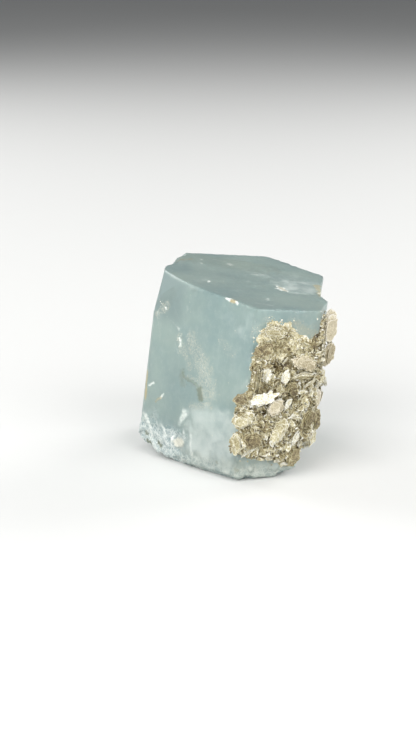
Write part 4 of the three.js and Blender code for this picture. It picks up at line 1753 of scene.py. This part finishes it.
@dataclass
class MicaBook:
    """One larger mica book: thin leaves on each other where its CAD solid stands."""

    node: str
    tone: BookTone
    seed: int
    look: BookLook
    pitch: float = 0.12
    gap: float = 0.3
    around: int = 44
    fewest: int = 5
    slipped: float = 0.3
    shifted: float = 0.09
    filled: float = 0.94
    ring_shares: Pair = (1.0, 0.87)
    ripple: float = 0.1
    tone_spread: Pair = (-0.14, 0.06)

    def measure(self) -> tuple[Matrix, Array, float]:
        """Reads the book's plane, outline and thickness from its CAD solid.

        Returns:
            The frame of its plane in the row's metres, its outline in that plane, and its
            thickness, both in metres.
        """
        mesh = merged_copy(self.node)
        points = coordinates(mesh)
        normals = np.array([face.normal for face in mesh.polygons])
        areas = np.array([face.area for face in mesh.polygons])
        normal = normals[int(np.argmax(areas))]
        same = np.abs(normals @ normal) > 0.97
        signed = normals[same] * np.sign(normals[same] @ normal)[:, None] * areas[same, None]
        normal = signed.sum(0) / np.linalg.norm(signed.sum(0))
        middle = (points.max(0) + points.min(0)) / 2
        axis_point = moved(np.zeros((1, 3)), CRYSTAL.to_row())[0]
        if normal @ ((middle - axis_point) * (1, 1, 0)) < 0:
            normal = -normal
        spread = points - middle
        spread = spread - np.outer(spread @ normal, normal)
        long_way = np.linalg.svd(spread, full_matrices=False)[2][0]
        basis = np.column_stack([long_way, np.cross(normal, long_way), normal])
        local = (points - middle) @ basis
        depth = local[:, 2]
        thickness = float(depth.max() - depth.min())
        place = np.eye(4)
        place[:3, :3] = basis
        place[:3, 3] = middle + normal * (depth.max() + depth.min()) / 2
        bpy.data.meshes.remove(mesh)
        return Matrix(place.tolist()), self.hull(local[:, :2]), thickness

    @staticmethod
    def hull(points: Array) -> Array:
        """The convex outline of points in a plane.

        Args:
            points: The points, one a row.

        Returns:
            Those on the outline, in order round it.
        """
        rows = sorted({(round(float(x), 7), round(float(y), 7)) for x, y in points})

        def turns(a: Pair, b: Pair, c: Pair) -> float:
            """More than 0 where the way from a by b to c turns left."""
            return (b[0] - a[0]) * (c[1] - a[1]) - (b[1] - a[1]) * (c[0] - a[0])

        def half(ordered: list) -> list:
            """One side of the outline.

            Args:
                ordered: All points, from one end to the other.

            Returns:
                Those on that side, without the last.
            """
            kept: list = []
            for point in ordered:
                while len(kept) > 1 and turns(kept[-2], kept[-1], point) <= 0:
                    kept.pop()
                kept.append(point)
            return kept[:-1]

        return np.array(half(rows) + half(rows[::-1]))

    def resampled(self, outline: Array, random: np.random.Generator) -> Array:
        """The outline again, with many points unevenly round it.

        Args:
            outline: Its corners, in order.
            random: Where the unevenness comes from.

        Returns:
            The points, in order.
        """
        ends = np.roll(outline, -1, axis=0)
        total = np.concatenate([[0], np.cumsum(np.linalg.norm(ends - outline, axis=1))])
        spots = (np.arange(self.around) + 0.6 * random.random(self.around)) / self.around * total[-1]
        closed = np.vstack([outline, outline[:1]])
        sharp = np.column_stack([np.interp(spots, total, closed[:, k]) for k in (0, 1)])
        eased = self.look.eased
        return sum(np.roll(sharp, step, axis=0) for step in range(-eased, eased + 1)) / (2 * eased + 1)

    def nicks(self, random: np.random.Generator) -> Array:
        """How far each point of a leaf's outline is torn in.

        Args:
            random: Where the nicks come from.

        Returns:
            One share of the leaf's radius a point.
        """
        turn = 2 * np.pi * np.arange(self.around) / self.around
        torn = sum(0.035 * np.sin(k * turn + random.uniform(0, 6.3)) for k in (3, 5, 8, 13))
        return 0.05 + torn + 0.06 * random.random(self.around) + 0.14 * (random.random(self.around) > 0.9)

    def build(self, finish: Material) -> bpy.types.Object:
        """Builds the book and fixes it to the body.

        Args:
            finish: The material that it wears.

        Returns:
            The finished piece, which stands for its CAD node.
        """
        random = np.random.default_rng(self.seed)
        place, outline, thickness = self.measure()
        place = Matrix.Translation((0, 0, self.look.rise * MM)) @ place
        leaves = max(self.fewest, round(thickness / MM / self.pitch))
        pitch = thickness / leaves
        reach = float(np.linalg.norm(outline, axis=1).max())
        bend = random.uniform(-0.06, 0.06, 2) / reach
        turn = random.uniform(0, 2 * math.pi)
        torn, most = self.look.torn, min(self.look.torn, 1)
        away = turn + math.pi
        slip = self.slipped * most * reach * np.array([math.cos(away), math.sin(away)])
        light = self.tone.value[1] + self.look.lighter
        parts, tones = [], []
        for leaf in range(leaves):
            up = leaf / (leaves - 1)
            edge = self.resampled(outline, random)
            if up > 0.3:
                back = most * up * random.uniform(0.3, 1.1)
                edge = trimmed(edge, turn + 0.9 * random.uniform(-1, 1), 1.05 - back)
            reached = (1 - torn * self.nicks(random)) * (1 - self.look.shrink * up**1.3)
            shift = self.shifted * torn * reach * random.uniform(-1, 1, 2)
            edge = edge * reached[:, None] + slip * up**1.5 + shift
            middle = edge.mean(0)
            level = (up - 0.5) * thickness * self.filled
            rings = [upright_in(middle + share * (edge - middle), level) for share in self.ring_shares]
            own, faces, rim = thin_leaf(rings, np.array([*middle, level]), pitch * (1 - self.gap))
            own[:, 2] += own[:, 0] ** 2 * bend[0] + own[:, 1] ** 2 * bend[1]
            flat = upright_in(own[:, :2] / MM)
            own[:, 2] += self.ripple * MM * noise_at(flat, 1.5, 2, self.seed)
            parts.append((moved(own, place), faces, rim))
            tones.append(np.full(len(own), light + random.uniform(*self.tone_spread)))
        points, faces, rim = joined(parts)
        piece = make_object(f"book_{self.node}", points, faces, finish)
        store(piece.data, "tone", np.concatenate(tones))
        store(piece.data, "rim", rim)
        return settle(piece, self.tone.value[0], self.node)


# ---- Studio ---------------------------------------------------------------------------


@dataclass(frozen=True)
class Softbox:
    """A large soft lamp aimed at the middle of the crystal; its angles are in degrees."""

    name: str
    azimuth: float
    elevation: float
    distance: float
    size: float
    power: float
    tint: Colour = (1.0, 1.0, 1.0)

    def build(self, target: Vector) -> None:
        """Puts the lamp in the scene.

        Args:
            target: What it is aimed at, in metres.
        """
        lamp = bpy.data.lights.new(self.name, "AREA")
        lamp.size = self.size
        lamp.energy = self.power
        lamp.color = self.tint
        holder = bpy.data.objects.new(self.name, lamp)
        a, e = math.radians(self.azimuth), math.radians(self.elevation)
        away = Vector((math.sin(a) * math.cos(e), -math.cos(a) * math.cos(e), math.sin(e)))
        holder.location = target + self.distance * away
        holder.rotation_euler = away.to_track_quat("Z", "Y").to_euler()
        bpy.context.scene.collection.objects.link(holder)


@dataclass(frozen=True)
class Studio:
    """Pale floor, soft light and the camera."""

    target: tuple[float, float, float] = (0.0, 0.0, 0.0227)
    elevation: float = 16.4
    distance: float = 0.4
    lens: float = 77.84
    shift: Pair = (-0.0386, -0.0125)
    floor_side: float = 6.0
    floor_colour: Colour = srgb(214, 214, 212)
    floor_roughness: float = 0.85
    surround: Colour = (0.17, 0.175, 0.18)
    lamps: tuple[Softbox, ...] = (
        Softbox("key", -36, 34, 0.8, 0.75, 6.6),
        Softbox("fill", 44, 32, 0.8, 0.75, 5.0),
        Softbox("over", 0, 74, 0.8, 0.4, 1.0),
        Softbox("back left", -128, 26, 0.85, 0.5, 4.0),
        Softbox("back right", 128, 26, 0.85, 0.5, 4.0),
    )

    def build(self) -> None:
        """Builds the whole studio."""
        self.camera()
        self.floor()
        world = bpy.data.worlds.new("studio")
        world.use_nodes = True
        world.node_tree.nodes["Background"].inputs[0].default_value = (*self.surround, 1)
        bpy.context.scene.world = world
        for lamp in self.lamps:
            lamp.build(Vector(self.target))
        bpy.context.scene.view_settings.view_transform = "Standard"

    def camera(self) -> None:
        """Puts the camera at the specimen's viewing angle."""
        data = bpy.data.cameras.new("camera")
        data.lens = self.lens
        data.shift_x, data.shift_y = self.shift
        data.clip_start = 0.01
        holder = bpy.data.objects.new("camera", data)
        rise = math.radians(self.elevation)
        away = Vector((0, -math.cos(rise), math.sin(rise)))
        holder.location = Vector(self.target) + self.distance * away
        holder.rotation_euler = (math.pi / 2 - rise, 0, 0)
        bpy.context.scene.collection.objects.link(holder)
        bpy.context.scene.camera = holder

    def floor(self) -> None:
        """Lays the plain pale floor under the specimen."""
        finish, _, shader = new_finish("floor")
        shader.inputs["Base Color"].default_value = (*self.floor_colour, 1)
        shader.inputs["Roughness"].default_value = self.floor_roughness
        half = self.floor_side / 2
        corners = np.array([[-half, -half, 0], [half, -half, 0], [half, half, 0], [-half, half, 0]])
        make_object("floor", corners, [(0, 1, 2, 3)], finish)


# ---- The specimen ---------------------------------------------------------------------

WHITE, STAIN, OLIVE, VEIL, MILK = MarkKind
FRONT, RIGHT, TOP = Side.FRONT_LEFT, Side.FRONT_RIGHT, Side.TOP

FIRST_BOOK_SEED = 200

MARKS = (
    Mark(VEIL, FRONT, (13.6, 31.2), (18.1, 26.0), 2.1, 0.8, 0.5),
    Mark(VEIL, FRONT, (18.1, 26.0), (21.3, 19.6), 2.7, 0.9, 0.5),
    Mark(VEIL, FRONT, (11.2, 28.8), (12.5, 26.6), 0.9, 0.7, 0.4),
    Mark(VEIL, FRONT, (13.4, 25.8), (14.3, 24.2), 1.0, 0.7, 0.4),
    Mark(VEIL, FRONT, (1.6, 34.2), (4.3, 37.2), 1.1, 0.9, 0.5),
    Mark(VEIL, FRONT, (14.0, 21.9), (16.8, 21.8), 0.5, 0.9),
    Mark(VEIL, FRONT, (16.2, 14.9), (22.2, 17.0), 0.9, 0.8, 0.5),
    Mark(VEIL, FRONT, (23.5, 33.0), (26.5, 31.0), 1.6, 0.35, 0.5),
    Mark(WHITE, FRONT, (9.9, 30.3), (10.2, 28.6), 0.45, 0.8, 0.9),
    Mark(VEIL, FRONT, (9.8, 31.0), (10.6, 27.6), 0.9, 0.8, 0.5),
    Mark(WHITE, FRONT, (3.9, 36.5), (4.2, 36.2), 0.32, 0.9),
    Mark(WHITE, FRONT, (1.7, 34.9), (1.9, 34.0), 0.28, 0.6),
    Mark(WHITE, FRONT, (11.0, 38.5), (11.2, 37.8), 0.4, 0.41),
    Mark(WHITE, FRONT, (8.9, 32.7), (9.3, 32.4), 0.36, 0.7),
    Mark(WHITE, FRONT, (6.7, 37.5), (8.7, 35.1), 0.24, 0.27),
    Mark(WHITE, FRONT, (6.2, 33.9), (9.4, 32.5), 0.26, 0.36),
    Mark(WHITE, FRONT, (8.5, 28.8), (10.2, 26.1), 0.26, 0.41),
    Mark(WHITE, FRONT, (1.7, 33.4), (3.5, 29.3), 0.28, 0.32),
    Mark(WHITE, FRONT, (4.4, 38.6), (5.4, 33.2), 0.28, 0.23),
    Mark(OLIVE, FRONT, (12.0, 22.0), (12.5, 19.8), 1.0, 0.5, 0.6),
    Mark(OLIVE, FRONT, (11.9, 22.2), (12.5, 21.6), 0.6, 0.8, 0.5),
    Mark(OLIVE, FRONT, (13.3, 21.2), (16.4, 20.9), 0.4, 0.7, 0.4),
    Mark(OLIVE, FRONT, (16.4, 20.9), (18.0, 20.1), 0.5, 0.65, 0.4),
    Mark(OLIVE, FRONT, (18.1, 19.8), (18.9, 17.8), 1.05, 0.9, 0.3),
    Mark(OLIVE, FRONT, (3.4, 1.9), (4.6, 1.5), 0.42, 1.0, 0.6),
    Mark(OLIVE, FRONT, (6.6, 2.6), (8.2, 2.1), 0.42, 1.0, 0.6),
    Mark(OLIVE, FRONT, (2.0, 3.7), (3.2, 3.3), 0.4, 0.9, 0.6),
    Mark(OLIVE, FRONT, (32.2, 3.9), (33.0, 3.6), 0.4, 0.55),
    Mark(OLIVE, FRONT, (26.3, 4.0), (26.8, 3.7), 0.35, 0.5),
    Mark(STAIN, FRONT, (0.2, 18.8), (0.8, 12.2), 0.6, 0.8),
    Mark(WHITE, FRONT, (1.7, 16.0), (3.0, 16.7), 0.4, 0.85, 0.5),
    Mark(WHITE, FRONT, (5.8, 13.8), (6.9, 15.0), 0.26, 0.8, 0.5),
    Mark(STAIN, FRONT, (4.6, 12.6), (6.1, 14.0), 0.3, 0.55, 0.5),
    Mark(WHITE, FRONT, (14.5, 12.4), (13.6, 10.2), 0.6, 0.62, 0.9),
    Mark(MILK, FRONT, (14.6, 12.6), (13.4, 9.6), 1.0, 0.45, 0.6),
    Mark(STAIN, FRONT, (18.0, 1.0), (36.0, 3.0), 3.4, 0.12, 0.4),
    Mark(STAIN, RIGHT, (0.0, 3.0), (14.0, 2.0), 3.4, 0.17, 0.4),
    Mark(MILK, TOP, (12.0, -1.0), (16.5, 0.5), 6.5, 0.5, 0.3),
    Mark(MILK, TOP, (4.0, 9.0), (16.0, 3.0), 6.0, 0.26, 0.3),
    Mark(OLIVE, TOP, (-15.0, 15.0), (4.0, 13.0), 5.0, 0.34, 0.3),
    Mark(MILK, FRONT, (27.0, 36.0), (28.0, 20.0), 7.5, 0.15, 0.3),
    Mark(WHITE, FRONT, (15.9, 14.0), (15.6, 11.0), 0.4, 0.22, 0.5),
    Mark(VEIL, RIGHT, (9.4, 40.6), (14.6, 38.6), 1.5, 0.5, 0.6),
    Mark(STAIN, RIGHT, (9.4, 40.0), (14.6, 38.0), 1.5, 0.25, 0.9),
    # Painted shade, not an inclusion: olive darkening over the rounded front-left shoulder, to dim the
    # lamp's highlight there.
    Mark(OLIVE, FRONT, (0.5, 41.5), (3.5, 40.0), 3.4, 0.2, 0.4),
    Mark(VEIL, RIGHT, (-0.4, 37.6), (2.6, 41.2), 1.0, 0.5, 0.6),
    Mark(WHITE, FRONT, (14.6, 8.4), (15.4, 6.2), 0.36, 0.6, 0.5),
    Mark(WHITE, FRONT, (17.3, 7.8), (18.2, 3.2), 0.4, 0.55, 0.6),
    Mark(WHITE, FRONT, (13.0, 4.3), (14.3, 5.0), 1.3, 0.75, 0.1),
    Mark(STAIN, FRONT, (13.1, 4.4), (14.2, 4.9), 1.3, 0.34, 0.1),
    Mark(WHITE, FRONT, (11.5, 5.7), (11.4, 3.9), 0.29, 1.0),
    Mark(WHITE, FRONT, (1.2, 8.4), (4.8, 3.6), 0.44, 0.7, 0.7),
    Mark(WHITE, FRONT, (4.0, 9.2), (6.0, 6.5), 0.32, 0.5, 0.7),
    Mark(WHITE, FRONT, (7.6, 7.4), (9.2, 5.0), 0.4, 0.6, 0.7),
    Mark(MILK, FRONT, (21.2, 10.0), (26.8, 11.8), 6.8, 0.66, 0.12),
    Mark(WHITE, Side.RIM, (22.6, 0.1), (23.6, 0.3), 0.34, 0.9, 0.4),
    Mark(WHITE, Side.RIM, (23.7, 0.4), (26.2, 0.2), 0.45, 0.8, 0.6),
    Mark(STAIN, Side.RIM, (24.2, 0.3), (25.3, 0.3), 0.38, 0.85, 0.5),
    Mark(WHITE, TOP, (7.5, -3.2), (9.3, -6.2), 1.05, 0.9, 0.9),
    Mark(STAIN, TOP, (7.9, -3.8), (9.2, -6.0), 0.6, 0.5, 0.6),
    # Painted highlight: a white line along the edge of the growth step on the top face.
    Mark(WHITE, TOP, (9.8, -7.2), (16.2, -6.0), 0.8, 0.34, 0.9),
    Mark(STAIN, TOP, (17.4, 2.6), (17.9, -6.5), 0.95, 0.6, 0.5),
    Mark(STAIN, TOP, (-18.0, 11.4), (-14.6, 13.4), 0.7, 0.35, 0.8),
    Mark(WHITE, TOP, (-17.4, 12.2), (-14.8, 13.4), 0.4, 0.4, 0.9),
    Mark(WHITE, TOP, (3.0, -10.5), (8.0, -9.6), 0.32, 0.26, 0.6),
    Mark(WHITE, TOP, (-3.0, -6.0), (2.0, -5.2), 0.3, 0.24, 0.6),
    Mark(WHITE, TOP, (5.5, -14.0), (10.5, -13.2), 0.32, 0.3, 0.6),
    Mark(WHITE, TOP, (6.0, 2.0), (11.0, 2.8), 0.32, 0.24, 0.6),
    Mark(WHITE, TOP, (0.6, 5.4), (4.2, 6.6), 0.48, 0.5, 0.5),
    Mark(WHITE, TOP, (-8.8, 16.0), (-5.7, 15.5), 0.56, 0.32, 0.5),
    Mark(WHITE, TOP, (-4.6, 13.4), (-4.2, 12.6), 0.8, 0.55, 0.5),
    Mark(WHITE, TOP, (-11.8, 14.8), (-11.7, 14.0), 0.4, 0.6, 0.5),
    Mark(WHITE, TOP, (-11.7, 11.0), (-11.6, 9.8), 0.36, 0.66, 0.5),
    Mark(WHITE, TOP, (-11.0, -5.2), (-10.9, -6.4), 0.36, 0.4, 0.5),
    Mark(WHITE, TOP, (-9.5, -5.8), (-9.4, -7.1), 0.4, 0.75, 0.5),
    Mark(WHITE, TOP, (-0.4, -2.4), (0.2, -1.4), 0.64, 0.36, 0.5),
    Mark(WHITE, TOP, (4.3, -16.8), (4.9, -15.2), 0.56, 0.5, 0.5),
    Mark(WHITE, TOP, (1.9, -20.7), (5.9, -21.2), 0.36, 0.5),
    Mark(WHITE, TOP, (-2.1, -14.6), (2.2, -11.6), 0.4, 0.25, 0.5),
    Mark(WHITE, Side.LEFT, (6.0, 30.0), (9.5, 25.0), 0.4, 0.4, 0.6),
    Mark(VEIL, Side.LEFT, (12.0, 31.0), (9.0, 20.0), 1.8, 0.7, 0.5),
    Mark(MILK, Side.LEFT, (9.0, 8.0), (17.0, 10.0), 3.5, 0.5, 0.3),
    Mark(STAIN, Side.LEFT, (15.0, 6.5), (17.5, 5.5), 0.5, 0.4, 0.6),
    Mark(VEIL, Side.BACK_LEFT, (6.0, 34.0), (14.0, 24.0), 2.2, 0.7, 0.5),
    Mark(WHITE, Side.BACK_LEFT, (16.0, 14.0), (18.5, 10.5), 0.4, 0.45, 0.8),
    Mark(OLIVE, Side.BACK_LEFT, (8.0, 15.5), (9.6, 14.6), 0.6, 0.6, 0.5),
    Mark(VEIL, Side.BACK_RIGHT, (12.0, 30.0), (7.0, 18.0), 2.0, 0.7, 0.5),
    Mark(WHITE, Side.BACK_RIGHT, (15.0, 33.0), (17.0, 29.0), 0.35, 0.4, 0.6),
    Mark(WHITE, TOP, (-17.3, 6.8), (-15.6, 12.6), 0.7, 0.3, 0.6),
)

PEARL_STOPS = (
    (0.0, srgb(88, 80, 58)),
    (0.3, srgb(142, 131, 101)),
    (0.6, srgb(196, 186, 158)),
    (0.82, srgb(222, 214, 192)),
    (1.0, srgb(242, 239, 230)),
)

VEILS = (
    Veil("veil_main", Side.FRONT_LEFT,
         ((11.6, 33.2), (13.6, 31.0), (16.0, 28.2), (18.6, 25.0), (20.8, 21.8), (22.4, 18.6)), 5.0,
         Strewing(0.16, (0.03, 0.1), 90, (0.8, 1.0), (-0.05, 0.05), most=14.0, seed=3)),
    Veil("veil_streak", Side.FRONT_LEFT, ((9.9, 31.4), (9.6, 29.6), (9.9, 27.6)), 1.3,
         Strewing(0.16, (0.06, 0.2), 90, (0.85, 1.0), (-0.05, 0.05), most=12.0, seed=5), 0.0, 20, 5),
    Veil("veil_upper_left", Side.FRONT_LEFT, ((1.6, 37.8), (3.0, 37.2), (4.6, 35.2), (5.6, 33.4)), 1.7,
         Strewing(0.2, (0.04, 0.15), 90, (0.8, 1.0), (-0.05, 0.05), most=6.0, seed=7), 0.0, 24, 6),
)

CRUSTS = (
    CrustPatch(
        "crust_front", RIGHT,
        ((-1.8, 8.6), (2.6, 7.2), (9.5, 6.4), (12.6, 5.0), (15.2, 7.6), (16.6, 13.0),
         (16.4, 37.6), (14.6, 37.0), (10.8, 38.2), (8.6, 40.6), (3.8, 41.0), (1.2, 37.6),
         (0.4, 30.0), (0.8, 24.0), (-2.0, 22.4), (-2.2, 16.4), (-0.6, 14.2), (-2.2, 12.0)),
        thickness=1.4,
        seed=40.0,
        crevices=(
            Crevice((7.0, 31.2), (2.4, 1.3)),
            Crevice((4.4, 13.6), (1.8, 1.1)),
            Crevice((15.6, 36.0), (0.9, 3.0)),
            Crevice((4.4, 18.9), (1.3, 0.8), 0.9),
            Crevice((10.6, 20.0), (1.0, 3.2), 0.5),
        ),
        fine_above=37.0,
    ),
    CrustPatch(
        "crust_right", Side.BREAK,
        ((-1.6, 12.0), (2.5, 8.4), (11.0, 7.6), (17.2, 11.4), (18.4, 20.0), (22.6, 26.0),
         (21.4, 36.2), (14.6, 38.4), (9.6, 40.0), (6.0, 43.4), (1.6, 44.4), (0.5, 43.6),
         (0.3, 39.0), (-1.4, 36.6)),
        thickness=2.0,
        seed=60.0,
        crevices=(
            Crevice((0.2, 37.2), (1.5, 3.2)),
            Crevice((1.4, 29.5), (1.2, 2.0)),
        ),
        swell=-0.7,
    ),
)

LOOKS = {
    "mica_book_rim_top": BookLook(rise=1.4, shrink=0.06, torn=0.7, lighter=-0.06, eased=2),
    "mica_book_rim_upper": BookLook(rise=0.6, shrink=0.12, torn=0.8, lighter=-0.26, eased=1),
    "mica_book_rim_middle": BookLook(shrink=0.2, torn=0.5),
    "mica_book_rim_lower": BookLook(shrink=0.15, torn=0.5),
    "mica_blade_white": BookLook(shrink=0.4, torn=1.8, lighter=-0.02),
    "mica_plate_white_centre": BookLook(shrink=0.26, torn=2.2, lighter=0.04, eased=1),
    "mica_plate_white_middle": BookLook(shrink=0.26, torn=2.2, eased=1),
    "mica_plate_white_lower": BookLook(shrink=0.26, torn=2.2, eased=1),
    "mica_plate_beside_upright": BookLook(shrink=0.26, torn=2.0, eased=1),
    "mica_book_pearl": BookLook(shrink=0.3, torn=1.6, lighter=-0.1),
    "mica_book_long_cream": BookLook(rise=0.2, torn=1.2, lighter=0.05),
    "mica_book_upper_cream": BookLook(torn=1.2, lighter=-0.06),
    "mica_book_right_foot": BookLook(lighter=0.05),
    "mica_book_cream_shelf": BookLook(torn=1.4, lighter=-0.18),
}


def build_books(plain: Material, pearly: Material) -> None:
    """Builds a detailed book for each mica node of the frame but the crust.

    Args:
        plain: The material of most books.
        pearly: The material of the thick pale ones.
    """
    slots = {part["node"]: part["material_slot"] for part in frame["record"]["subparts"]}
    nodes = [node for node in sorted(frame["nodes"]) if slots[node].startswith("mica")]
    nodes.remove("mica_crust")
    for seed, node in enumerate(nodes, FIRST_BOOK_SEED):
        tone = BookTone.of(slots[node], node)
        finish = pearly if tone is BookTone.PEARL else plain
        MicaBook(node, tone, seed, LOOKS.get(node, BookLook())).build(finish)


def main() -> None:
    """Builds the studio, the crystal, what is sealed in it, and the mica on it."""
    logging.basicConfig(level=logging.INFO, format="%(message)s")
    Studio().build()
    Aquamarine().build()

    tree = StrewTree()
    boxes = {kind: FlakeBox(kind) for kind in FlakeKind}
    for box in boxes.values():
        box.fill()
    white = MicaFinish("veil speck", gloss=0.5, mottle=0.05, lines=0.0).make()
    for veil in VEILS:
        veil.build(tree, boxes[FlakeKind.SPECK], white)
    SealedMica().build(SealedFinish("sealed mica", srgb(58, 58, 38), srgb(84, 80, 52)).make())

    mica = MicaFinish("mica").make()
    pearly = MicaFinish("pearly mica", PEARL_STOPS, mottle=0.11, edge=0.3, lines=0.2, relief=0.4)
    for patch in CRUSTS:
        patch.build(tree, boxes, mica)
    build_books(mica, pearly.make())
    for box in boxes.values():
        box.empty()


if __name__ == "__main__":
    main()
